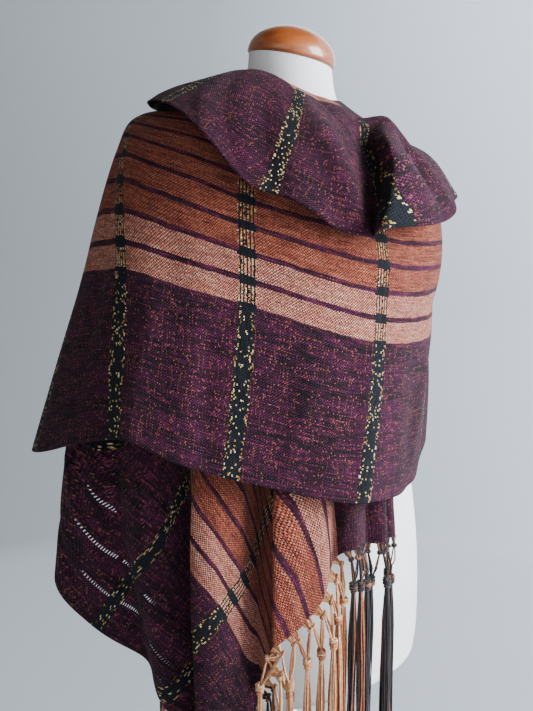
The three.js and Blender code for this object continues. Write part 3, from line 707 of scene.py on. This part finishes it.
SHADOW, PLUM, BROWN_FLECK = "#050305", "#782059", "#84493a"
DYES = {  # the tint of a yarn at a place, and its colour there
    "aubergine": [
        (0.34, "#08060d"), (0.44, "#1f0a19"), (0.53, "#451231"), (0.62, "#762653"), (0.71, "#87452f")],
    "rust": [(0.32, "#863c2c"), (0.5, "#b86046"), (0.68, "#d27e5c")],
    "peach": [(0.32, "#cc7560"), (0.5, "#e8957c"), (0.68, "#f8b8a0")],
    "dark weft": [(0.34, "#07060a"), (0.46, "#120a12"), (0.57, "#30161a"), (0.68, "#7c4230")],
    "light weft": [(0.34, "#180810"), (0.5, "#3c141a"), (0.66, "#6a3028")],
    "black weft": [(0.35, "#090b10"), (0.6, "#161b24"), (0.75, "#33241e")],
    "lurex": [(0.1, "#9a6c34"), (0.6, "#d8ae62"), (0.95, "#f5e6bd")],
}


# %% Yarns on the loom
class Weave(Finish):
    def __init__(self, name):
        super().__init__(name)
        spot = self.node("ShaderNodeUVMap", uv_map="Cloth").outputs[0]
        self.along, self.across, _ = self.node("ShaderNodeSeparateXYZ", spot).outputs
        drift = self.maths("SUBTRACT", self.noise(spot, DRIFT_GRAIN), 0.5)
        self.u = self.scaled(drift, DRIFT_ALONG, self.along)
        self.v = self.scaled(drift, DRIFT_ACROSS, self.across)
        self.find_zones()
        self.cross_yarns()

    def off_repeat(self, value, step, start=0.0):
        turned = self.maths("ADD", self.maths("DIVIDE", self.maths("SUBTRACT", value, start), step), 0.5)
        centred = self.maths("SUBTRACT", self.maths("FRACT", turned), 0.5)
        return self.both(self.maths("ABSOLUTE", centred), step)

    def cell(self, value, size):
        return self.maths("FLOOR", self.maths("DIVIDE", value, size))

    def patches(self, x, y, seed, detail):
        return self.noise(self.vector(x, y, seed), 1.0, detail)

    def find_zones(self):
        off_middle = self.maths("ABSOLUTE", self.maths("SUBTRACT", self.v, MIDDLE))
        from_edge = self.maths("SUBTRACT", MIDDLE, off_middle)
        self.dark_zone = self.below(from_edge, EDGE)
        self.peach_zone = self.below(from_edge, EDGE + PEACH_BREADTH)
        self.pin_off = self.off_repeat(self.v, PIN_STEP, EDGE)
        in_light = self.above(from_edge, EDGE - PIN_OVERLAP)
        pin = self.both(self.below(self.pin_off, PIN_HALF), in_light)
        self.dark = self.either(self.dark_zone, pin)

    # which yarn is on top, how round it stands, and how its tint changes slowly along its length
    def cross_yarns(self):
        warp_wave = self.maths("SINE", self.both(self.v, math.pi / THREAD))
        weft_wave = self.maths("SINE", self.both(self.u, math.pi / THREAD))
        cover = self.scaled(self.dark_zone, WEFT_COVER_DARK, WEFT_COVER)
        self.warp_up = self.above(self.both(warp_wave, weft_wave), cover)
        height = self.node("ShaderNodeMix", data_type="FLOAT")
        self.put(height.inputs[0], self.warp_up)
        self.put(height.inputs[2], self.maths("ABSOLUTE", weft_wave))
        self.put(height.inputs[3], self.maths("ABSOLUTE", warp_wave))
        self.yarns = height.outputs[0]
        warp, weft = self.cell(self.v, THREAD), self.cell(self.u, THREAD)
        self.fleck = self.specks(self.vector(weft, warp))
        self.warp_tint = self.patches(
            self.both(self.u, WARP_CHANGES), self.both(warp, WARP_NEXT), 0.0, 3.0)
        self.weft_tint = self.patches(
            self.both(weft, WEFT_NEXT), self.both(self.v, WEFT_CHANGES), 7.0, 3.0)

    def warp_dye(self, dye):
        return self.ramp(self.warp_tint, DYES[dye])

    def weft_dye(self, dye):
        return self.ramp(self.weft_tint, DYES[dye])

    def colour_stripes(self):
        streak = self.patches(
            self.both(self.u, STREAKS_ALONG), self.both(self.v, STREAKS_ACROSS), 3.0, 2.0)
        aubergine = self.mix(self.scaled(streak, *PLUM_SHARE), self.warp_dye("aubergine"), paint(PLUM))
        brown = self.above(self.fleck, FLECK_FROM)
        dark_weft = self.mix(brown, self.weft_dye("dark weft"), paint(BROWN_FLECK))
        self.light = self.mix(self.peach_zone, self.warp_dye("rust"), self.warp_dye("peach"))
        warp = self.mix(self.dark, self.light, aubergine)
        weft = self.mix(self.dark_zone, self.weft_dye("light weft"), dark_weft)
        tone = self.both(self.scaled(self.yarns, *YARN_TONE), self.scaled(self.fleck, *FLECK_TONE))
        return self.mix(self.maths("MINIMUM", tone, 1.0), paint(SHADOW), self.mix(self.warp_up, weft, warp))

    # the ribbon: black weft with gold lurex, and in the light zone the warp shows in dashes between
    def colour_ribbon(self):
        ragged = self.specks(self.vector(self.cell(self.v, FRAY_CELL), 5.0))
        off = self.off_repeat(self.u, BAND_STEP)
        self.ribbon = self.below(off, self.scaled(ragged, FRAY, BAND_HALF - FRAY_IN))
        self.glint = self.specks(self.vector(self.cell(self.u, GLINT_ALONG), self.cell(self.v, GLINT_ACROSS)))
        block = self.without(self.below(self.pin_off, PIN_HALF * BLOCK_SHARE), self.dark_zone)
        column = self.above(self.off_repeat(self.along, COLUMN_STEP), COLUMN_GAP)
        dash = self.without(self.without(column, self.dark_zone), block)
        dash = self.both(dash, self.above(self.glint, DASH_FROM))
        rim = self.above(off, BAND_HALF * RIM_SHARE)
        rim_glint = self.above(self.glint, self.scaled(rim, RIM_GOLD, DARK_GOLD_FROM))
        gold_light = self.both(dash, self.above(self.glint, GOLD_FROM))
        gold = self.either(self.both(self.dark_zone, rim_glint), gold_light)
        self.gold = self.both(gold, self.ribbon)
        lurex = self.ramp(self.maths("FRACT", self.both(self.glint, LUREX_SHADES)), DYES["lurex"])
        lattice = self.mix(self.without(dash, gold_light), self.weft_dye("black weft"), self.light)
        lattice = self.mix(self.gold, lattice, lurex)
        return self.mix(self.scaled(self.yarns, *RIBBON_TONE), paint(SHADOW), lattice)

    def open_slits(self):
        ladder = self.below(self.off_repeat(self.across, OPEN_STEP), OPEN_HALF)
        slot = self.below(self.off_repeat(self.along, OPEN_PITCH), OPEN_PITCH * OPEN_SLOT)
        patch = self.patches(
            self.both(self.u, PATCHES_ALONG), self.both(self.v, PATCHES_ACROSS), 11.0, 1.0)
        zone = self.both(self.below(self.v, OPEN_TO), self.above(self.v, OPEN_FROM))
        hole = self.both(self.both(ladder, slot), self.both(zone, self.above(patch, PATCHES_OPEN)))
        self.surface(Alpha=self.maths("SUBTRACT", 1.0, self.without(hole, self.ribbon)))


# %% Handwoven cloth
def woven_cloth(name):
    cloth = Weave(name)
    stripes, band = cloth.colour_stripes(), cloth.colour_ribbon()
    lifted = cloth.scaled(cloth.ribbon, cloth.scaled(cloth.glint, *GLINT_RELIEF), cloth.yarns)
    cloth.bump(cloth.scaled(cloth.fleck, FLECK_RELIEF, lifted), RELIEF, RELIEF_STRENGTH)
    cloth.surface(
        Base_Color=cloth.mix(cloth.ribbon, stripes, band),
        Metallic=cloth.both(cloth.gold, 0.5),
        Roughness=cloth.scaled(cloth.gold, -0.45, 0.85),
        Specular_IOR_Level=0.16, Sheen_Weight=0.04, Sheen_Roughness=0.4,
    )
    return cloth


cloth_finish = woven_cloth("handwoven_cloth")
openwork_finish = woven_cloth("handwoven_openwork")
openwork_finish.open_slits()
for piece in (main_panel, back_wrap, collar):
    cloth_finish.dress(piece)
openwork_finish.dress(under_end)
print("cloth nodes:", len(cloth_finish.tree.nodes))

# %% [markdown]
# ## Knotted fringe
# At both short ends the weaver leaves the warp ends long, ties them in small bunches, shares the
# bunches out again to a second row of knots, and lets the rest hang. Each yarn is drawn as its own
# path with a round section, so the bunches look soft. Solid cords would look like rope.

# %% Fringe yarns
STRIP, NET_DROP = 4, 38
NET_YARNS, NET_SPACING, NET_SPREAD = 5, 1.7, 1.3
NET_PARTS = (0.12, 0.88)
NET_KNOT_DOWN, NET_KNOT_OUT, NET_KNOT_WRAPS = 5, 1.5, 2
NET_KNOT_RADIUS, NET_KNOT_HEIGHT = 2.6, 2.2
NET_OUT, ROOT_IN, ROOT_OUT = 2.5, 1.5, 2
LOCK_LENGTH, LOCK_WIDE = 225, 4.34
LOCK_FULL_FROM, LOCK_FULL_RUN = 2, 45
LOCK_YARNS, LOCK_TURN = 20, 2.4
LOCK_DROPS = (-4, 0, 5, 14, 30, 55, 85, 120, 155, 190)
LOCK_OUT, LOCK_STAGGER = 4, 7
LENGTH_CHANGE, SWAY, TIP_SHORT, TWIST, WANDER, KNOT_LEAN = 0.05, 3, 0.94, 0.9, 0.5, 0.3
KNOT_WRAPS, KNOT_STEP, KNOT_RADIUS, KNOT_HEIGHT, KNOT_WAIST = 4, 2.1, 3.6, 3.5, 1.9
COIL_STEPS = 9
# a yarn's radius in metres, and how much thicker it is in the net and the knots
YARN = 0.00072
NET_THICK, NET_KNOT_THICK, KNOT_THICK = 1.15, 1.5, 2.1
BACK_MARGIN = 8
NEAR_BEARING, NEAR_WARP = 0.2, 8
BLACK, RUST, TAN, PEACH = range(4)
draw = random.Random(7)


def under_edge(first, last):
    def edge(t):
        bearing = between(first, last, t)
        point = point_at(under_place(bearing, 1))
        ahead = point_at(under_place(bearing + NEAR_BEARING, 1))
        along = ahead - point_at(under_place(bearing - NEAR_BEARING, 1))
        out = Vector((point.x, point.y, 0)).normalized()
        off = along.normalized().cross(out).normalized()
        if off.z > 0:
            off.negate()
        return point, off, out, under_lay(bearing, 1)[1]

    return edge


def back_edge(t):
    across = BACK_MARGIN + (PANEL_TOP - 2 * BACK_MARGIN) * t
    point = point_at(panel_place(PANEL_START, across))
    off = (point - point_at(panel_place(PANEL_START + NEAR_WARP, across))).normalized()
    out = Vector((point.x, point.y, 0)).normalized()
    return point, off, out, across


def yarn_finish(v):
    if EDGE_ZONE <= v <= CLOTH_WIDTH - EDGE_ZONE:
        return draw.choice((RUST, TAN, TAN, PEACH))
    return draw.choice((BLACK, BLACK, BLACK, RUST))


def net_yarns(here, knot, v):
    point, off, out, _ = here
    first_knot = point + off * (STRIP + NET_KNOT_DOWN) * MM + out * NET_KNOT_OUT * MM
    strands = []
    for k in range(NET_YARNS):
        side = out.cross(off).normalized() * (k - NET_YARNS // 2) * NET_SPACING * MM
        spread = Vector([draw.uniform(-1, 1) for _ in range(3)]) * NET_SPREAD * MM
        middle = first_knot.lerp(knot, 0.5) + out * NET_OUT * MM + spread * 1.6
        root, leaving = point + side - off * ROOT_IN * MM, point + side * 0.9 + off * ROOT_OUT * MM
        path = [root, leaving, first_knot + spread * 0.5, middle, knot]
        strands.append((path, NET_THICK, yarn_finish(v)))
    for wrap in range(NET_KNOT_WRAPS):
        path = coil(first_knot, off, NET_KNOT_RADIUS * MM, NET_KNOT_HEIGHT * MM, 1.2, wrap * 2.1)
        strands.append((path, NET_KNOT_THICK, yarn_finish(v)))
    return strands


def coil(centre, axis, radius, height, turns, start):
    side = axis.orthogonal().normalized()
    other = axis.cross(side).normalized()
    path = []
    steps = max(int(turns * COIL_STEPS), COIL_STEPS)
    for k in range(steps + 1):
        a = start + 2 * math.pi * turns * k / steps
        level = (k / steps - 0.5) * height
        path.append(centre + side * math.cos(a) * radius + other * math.sin(a) * radius + axis * level)
    return path


def lock_yarns(knot, length, sway, v):
    down = Vector((0, 0, -1))
    strands = []
    for k in range(LOCK_YARNS):
        ring = math.sqrt((k + 0.5) / LOCK_YARNS)
        tip = length * draw.uniform(TIP_SHORT, 1.0)
        twist = draw.uniform(-TWIST, TWIST)
        path = []
        for drop in LOCK_DROPS + (tip / MM,):
            if drop > tip / MM:
                continue
            full = ease((drop - LOCK_FULL_FROM) / LOCK_FULL_RUN)
            width = between(KNOT_WAIST, LOCK_WIDE, full) * ring * MM
            turn = LOCK_TURN * k + twist * drop / LOCK_LENGTH
            wave = Vector((math.sin(drop * 0.05 + k), math.cos(drop * 0.043 + 2 * k), 0))
            arm = Vector((math.cos(turn), math.sin(turn), 0)) * width
            hung = knot + down * drop * MM + sway * (drop / LOCK_LENGTH)
            path.append(hung + arm + wave * WANDER * MM * full)
        strands.append((path, 1.0, yarn_finish(v)))
    for wrap in range(KNOT_WRAPS):
        centre = knot + down * (wrap - (KNOT_WRAPS - 1) / 2) * KNOT_STEP * MM
        lean = Vector((draw.uniform(-KNOT_LEAN, KNOT_LEAN), draw.uniform(-KNOT_LEAN, KNOT_LEAN), 0))
        axis = (down + lean).normalized()
        path = coil(centre, axis, KNOT_RADIUS * MM, KNOT_HEIGHT * MM, 1.3, wrap * 1.7)
        strands.append((path, KNOT_THICK, yarn_finish(v)))
    return strands


def fringe_strands(edge, locks):
    strands = []
    for n in range(locks):
        point, off, out, v = edge((n + 0.5) / locks)
        fall = (off * 0.3 + Vector((0, 0, -0.95))).normalized()
        stand = LOCK_OUT + ((n % 3) - 1) * LOCK_STAGGER
        knot = point + off * STRIP * MM + fall * NET_DROP * MM + out * stand * MM
        for part in NET_PARTS:
            strands += net_yarns(edge((n + part) / locks), knot, v)
        length = LOCK_LENGTH * (1 + LENGTH_CHANGE * math.sin(n * 2.4)) * MM
        sway = Vector((math.sin(n * 1.7), math.cos(n * 2.3), 0)) * SWAY * MM
        strands += lock_yarns(knot, length, sway, v)
    return strands


def fringe_piece(name, strands, finishes):
    curve = bpy.data.curves.new(name + "_paths", "CURVE")
    curve.dimensions = "3D"
    curve.bevel_depth = YARN
    curve.bevel_resolution = 0
    curve.use_fill_caps = True
    for finish in finishes:
        curve.materials.append(finish.material)
    for path, thick, finish in strands:
        spline = curve.splines.new("POLY")
        spline.points.add(len(path) - 1)
        for spot, place in zip(spline.points, path):
            spot.co = (*place, 1)
            spot.radius = thick
        spline.use_smooth = True
        spline.material_index = finish
    drawn = bpy.data.objects.new(name + "_paths", curve)
    bpy.context.scene.collection.objects.link(drawn)
    bpy.context.view_layer.update()
    mesh = bpy.data.meshes.new_from_object(drawn.evaluated_get(bpy.context.evaluated_depsgraph_get()))
    mesh.name = name
    bpy.data.objects.remove(drawn)
    piece = bpy.data.objects.new(name, mesh)
    bpy.context.scene.collection.objects.link(piece)
    print(name, len(strands), "yarns", len(mesh.polygons), "faces")
    return piece


def yarn_material(name, shades):
    yarn = Finish(name)
    place = yarn.object_place()
    tone = yarn.noise(place, 420.0, 3.0)
    yarn.bump(yarn.noise(place, 2600.0, 1.0), 0.0003, 0.6)
    yarn.surface(
        Base_Color=yarn.ramp(tone, list(zip((0.3, 0.5, 0.72), shades))),
        Roughness=0.7, Sheen_Weight=0.2, Specular_IOR_Level=0.4,
    )
    return yarn


yarn_finishes = [
    yarn_material("yarn_black", ("#0e0b10", "#1e1418", "#35201f")),
    yarn_material("yarn_rust", ("#6a3420", "#94502c", "#b4713f")),
    yarn_material("yarn_tan", ("#9a5c34", "#bd7d4a", "#d29a66")),
    yarn_material("yarn_peach", ("#b98257", "#d8aa7e", "#e9c8a2")),
]
TAN_LOCKS, DARK_LOCKS, BACK_LOCKS = 14, 7, 16
tan_edge = under_edge(CORNER_BEARING + 1, DARK_BEARING - 1.5)
dark_edge = under_edge(DARK_BEARING + 1.5, UNDER_LAST - 0.5)
fringe_tan = fringe_piece("fringe_tan_locks", fringe_strands(tan_edge, TAN_LOCKS), yarn_finishes)
fringe_dark = fringe_piece("fringe_dark_locks", fringe_strands(dark_edge, DARK_LOCKS), yarn_finishes)
fringe_back = fringe_piece("fringe_back_locks", fringe_strands(back_edge, BACK_LOCKS), yarn_finishes)

# %% [markdown]
# ## Torso of the form
# The torso is a shell under a tight white jersey with a hem near the bottom. A flat grid wrapped into a
# ring follows the table of sections exactly, which a scaled sphere would not.

# %% Torso
HEM_UP, HEM_DEEP, HEM_BROAD = 20, 0.9, 2.2
TORSO_COLUMNS, TORSO_ROWS = 96, 352


def torso_point(s, t):
    bearing = 360 * s - 180
    height = between(FORM_HEIGHTS[0], FORM_HEIGHTS[-1], t)
    radius = form_radius(bearing, height)
    seam_off = abs(height - FORM_HEIGHTS[0] - HEM_UP)
    radius -= HEM_DEEP * math.exp(-(seam_off / HEM_BROAD) ** 2)
    point = point_at([bearing, radius, height])
    point.z -= point.x * NECK_TILT * ease((height - NECK_BEND) / (NECK_TOP - NECK_BEND))
    return point


bm = bmesh.new()
bmesh.ops.create_grid(bm, x_segments=TORSO_COLUMNS, y_segments=TORSO_ROWS, size=0.5)
for vert in bm.verts:
    vert.co = torso_point(vert.co.x + 0.5, vert.co.y + 0.5)
bmesh.ops.remove_doubles(bm, verts=bm.verts, dist=SAME_PLACE)
open_edges = [edge for edge in bm.edges if edge.is_boundary]
bmesh.ops.holes_fill(bm, edges=open_edges, sides=0)
bmesh.ops.recalc_face_normals(bm, faces=bm.faces)
torso = new_object("torso_jersey", bm)

jersey = Finish("white_jersey")
ribs = jersey.noise(jersey.turned_place((0, 0, 0), (900, 900, 620)), 1.0, 1.0)
cloud = jersey.noise(jersey.object_place(), 9.0, 3.0)
jersey.bump(ribs, 0.0004, 0.5)
jersey.surface(
    Base_Color=jersey.ramp(cloud, [(0.3, "#dcdad8"), (0.55, "#e9e7e5"), (0.75, "#f1f0ee")]),
    Roughness=0.86, Sheen_Weight=0.25, Specular_IOR_Level=0.25,
)
jersey.dress(torso)


# %% [markdown]
# ## Turned parts
# The neck cap is turned from a reddish wood and varnished, and the pole and base are plain brushed
# steel. A lathe makes all three, and so does Blender's spin: it turns half a profile round the axis.

# %% Spin a profile
def turned(profile, around):
    bm = bmesh.new()
    chain = [bm.verts.new((radius * MM, 0, height * MM)) for radius, height in profile]
    edges = [bm.edges.new(pair) for pair in zip(chain, chain[1:])]
    bmesh.ops.spin(
        bm, geom=chain + edges, cent=(0, 0, 0), axis=(0, 0, 1),
        angle=2 * math.pi, steps=around, use_merge=True,
    )
    bmesh.ops.remove_doubles(bm, verts=bm.verts, dist=SAME_PLACE / 10)
    bmesh.ops.recalc_face_normals(bm, faces=bm.faces)
    return bm


def arc(centre, radius, first, last, steps):
    angles = [math.radians(between(first, last, k / steps)) for k in range(steps + 1)]
    return [(centre[0] + radius * math.cos(a), centre[1] + radius * math.sin(a)) for a in angles]


# %% Neck cap
CAP_RADIUS, CAP_LIP, CAP_HEIGHT = 48, 5, 37
CAP_STEPS, CAP_AROUND = 22, 96
SEAM = 0.3
quarter = arc((0, 0), 1, 0, 90, CAP_STEPS)
dome = [(CAP_RADIUS * x, CAP_LIP + (CAP_HEIGHT - CAP_LIP) * z) for x, z in quarter]
dome[-1] = (0, CAP_HEIGHT)
cap_profile = [(0, 0), (CAP_RADIUS - 2.5, 0), (CAP_RADIUS - 1, 0.7), (CAP_RADIUS, 2.2)] + dome
bm = turned(cap_profile, CAP_AROUND)
tilt = Matrix.Translation((0, 0, (NECK_TOP + 2 * SEAM) * MM)) @ Matrix.Rotation(math.atan(NECK_TILT), 4, "Y")
bmesh.ops.transform(bm, matrix=tilt, verts=bm.verts)
cap = new_object("neck_cap_wood", bm)

wood = Finish("varnished_wood")
GRAIN_TURN = [math.radians(degrees) for degrees in (8, 13, 30)]
grain = wood.noise(wood.turned_place(GRAIN_TURN, (10, 42, 120)), 1.0, 4.0)
pore = wood.noise(wood.turned_place(GRAIN_TURN, (80, 500, 900)), 1.0, 2.0)
tone = wood.scaled(pore, 0.25, wood.both(grain, 0.8))
wood.bump(pore, 0.0002, 0.25)
wood.surface(
    Base_Color=wood.ramp(tone, [(0.26, "#6e3014"), (0.44, "#8c441a"), (0.6, "#9f5624"), (0.8, "#b46c34")]),
    Roughness=0.38, Coat_Weight=0.7, Coat_Roughness=0.12,
)
wood.dress(cap)

# %% Pole and base
POLE_RADIUS, BASE_RADIUS, BASE_HEIGHT, BASE_EDGE = 14, 180, 16, 5
BOSS_RADIUS = 22
POLE_AROUND, BASE_AROUND, EDGE_ARC = 48, 128, 6
pole_foot, pole_top = BASE_HEIGHT + SEAM, FORM_HEIGHTS[0] - SEAM
pole_profile = [(0, pole_foot), (POLE_RADIUS, pole_foot), (POLE_RADIUS, pole_top), (0, pole_top)]
pole = new_object("stand_pole_steel", turned(pole_profile, POLE_AROUND))
rim = arc((BASE_RADIUS - BASE_EDGE, BASE_HEIGHT - BASE_EDGE), BASE_EDGE, 0, 90, EDGE_ARC)
base_profile = [(0, 0), (BASE_RADIUS - 1, 0), (BASE_RADIUS, 1)] + rim
base_profile += [(BOSS_RADIUS, BASE_HEIGHT), (0, BASE_HEIGHT)]
base = new_object("stand_base_steel", turned(base_profile, BASE_AROUND))

steel = Finish("brushed_steel")
brushed = steel.noise(steel.object_place(), 380.0, 4.0)
steel.surface(
    Base_Color=steel.ramp(brushed, [(0.3, "#8f9296"), (0.6, "#b4b7ba")]),
    Metallic=1.0, Roughness=steel.scaled(brushed, 0.2, 0.25),
)
for piece in (pole, base):
    steel.dress(piece)

# %% [markdown]
# ## What stands for what
# Each piece rides on the one body of the part, and takes the place of the plain solid of the same form.

dressed = [
    (main_panel, "main_panel", "cloth"), (back_wrap, "back_wrap", "cloth"), (under_end, "under_end", "cloth"),
    (collar, "collar", "cloth"), (fringe_tan, "fringe_front_tan", "fringe_tan"),
    (fringe_dark, "fringe_front_dark", "fringe_dark"), (fringe_back, "fringe_back", "fringe_tan"),
    (torso, "form_torso", "form_jersey"), (cap, "form_cap", "cap_wood"), (pole, "stand_pole", "stand_steel"),
    (base, "stand_base", "stand_steel"),
]
for piece, node, slot in dressed:
    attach(piece, "root")
    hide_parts(node)

# %% [markdown]
# ## Studio
# A round bowl of pale paper is floor and background in one, so the piece can be looked at from every
# side. A large soft light stands to the right of the camera like a window.

# %% Floor and light
BOWL_FLOOR, BOWL_CURVE, BOWL_WALL, BOWL_DOWN = 1500, 3100, 5200, 1
BOWL_ARC, BOWL_AROUND = 28, 128
bowl_profile = [(0, -BOWL_DOWN), (BOWL_FLOOR, -BOWL_DOWN)]
bowl_profile += arc((BOWL_FLOOR, BOWL_CURVE), BOWL_CURVE, -90, 0, BOWL_ARC)
bowl_profile += [(BOWL_FLOOR + BOWL_CURVE, BOWL_WALL)]
bm = turned(bowl_profile, BOWL_AROUND)
bmesh.ops.reverse_faces(bm, faces=bm.faces)
bowl = new_object("studio_bowl", bm)
paper = Finish("pale_paper")
# painted light on the paper: its colour runs from dark on the side away from the window to light and bluish
# towards it
PAPER_WINDOW_LIGHT = [(0.05, "#60605d"), (0.45, "#989ea3"), (0.8, "#eaf3ff")]
TOWARDS_WINDOW = (0.16, -0.09)
# painted shade low down: below this height the paper's colour is mixed towards near black, most at the floor
HEIGHT_OF_FULL_TONE, FLOOR_UNSHADED_SHARE = 1.6, 0.72
side, depth, height = paper.node("ShaderNodeSeparateXYZ", paper.object_place()).outputs
towards_window = paper.scaled(side, TOWARDS_WINDOW[0], paper.both(depth, TOWARDS_WINDOW[1]))
shade = paper.ramp(paper.maths("ADD", towards_window, 0.5), PAPER_WINDOW_LIGHT)
low = paper.node("ShaderNodeMapRange", height, 0.0, HEIGHT_OF_FULL_TONE, FLOOR_UNSHADED_SHARE, 1.0)
shade = paper.mix(low.outputs[0], paint("#101214"), shade)
# the paper glows with this colour, though it is no lamp: painted light
paper.surface(Base_Color=shade, Emission_Color=shade, Emission_Strength=0.88, Roughness=0.95)
paper.dress(bowl)


def area_light(name, place, aim, size, power, colour):
    data = bpy.data.lights.new(name, "AREA")
    data.size = size
    data.energy = power
    data.color = colour
    light = bpy.data.objects.new(name, data)
    light.location = place
    light.rotation_euler = (Vector(aim) - Vector(place)).to_track_quat("-Z", "Y").to_euler()
    bpy.context.scene.collection.objects.link(light)


LAMPS = [  # name, place, what it is turned to, size, watts and colour
    ("window", (1.7, -2.0, 1.9), (0, 0, 0.85), 1.7, 275, (0.91, 0.95, 1.0)),
    ("fill", (-2.4, -1.4, 1.7), (0, 0, 0.9), 2.2, 13, (1.0, 0.97, 0.94)),
    ("back", (1.6, 2.0, 1.8), (0, 0, 0.9), 1.6, 11, (0.93, 0.96, 1.0)),
]
AIR_COLOUR, AIR_STRENGTH = (0.80, 0.86, 0.92, 1), 0.05
for lamp in LAMPS:
    area_light(*lamp)
world = bpy.data.worlds.new("studio_air")
world.use_nodes = True
air = world.node_tree.nodes["Background"]
air.inputs[0].default_value = AIR_COLOUR
air.inputs[1].default_value = AIR_STRENGTH
bpy.context.scene.world = world
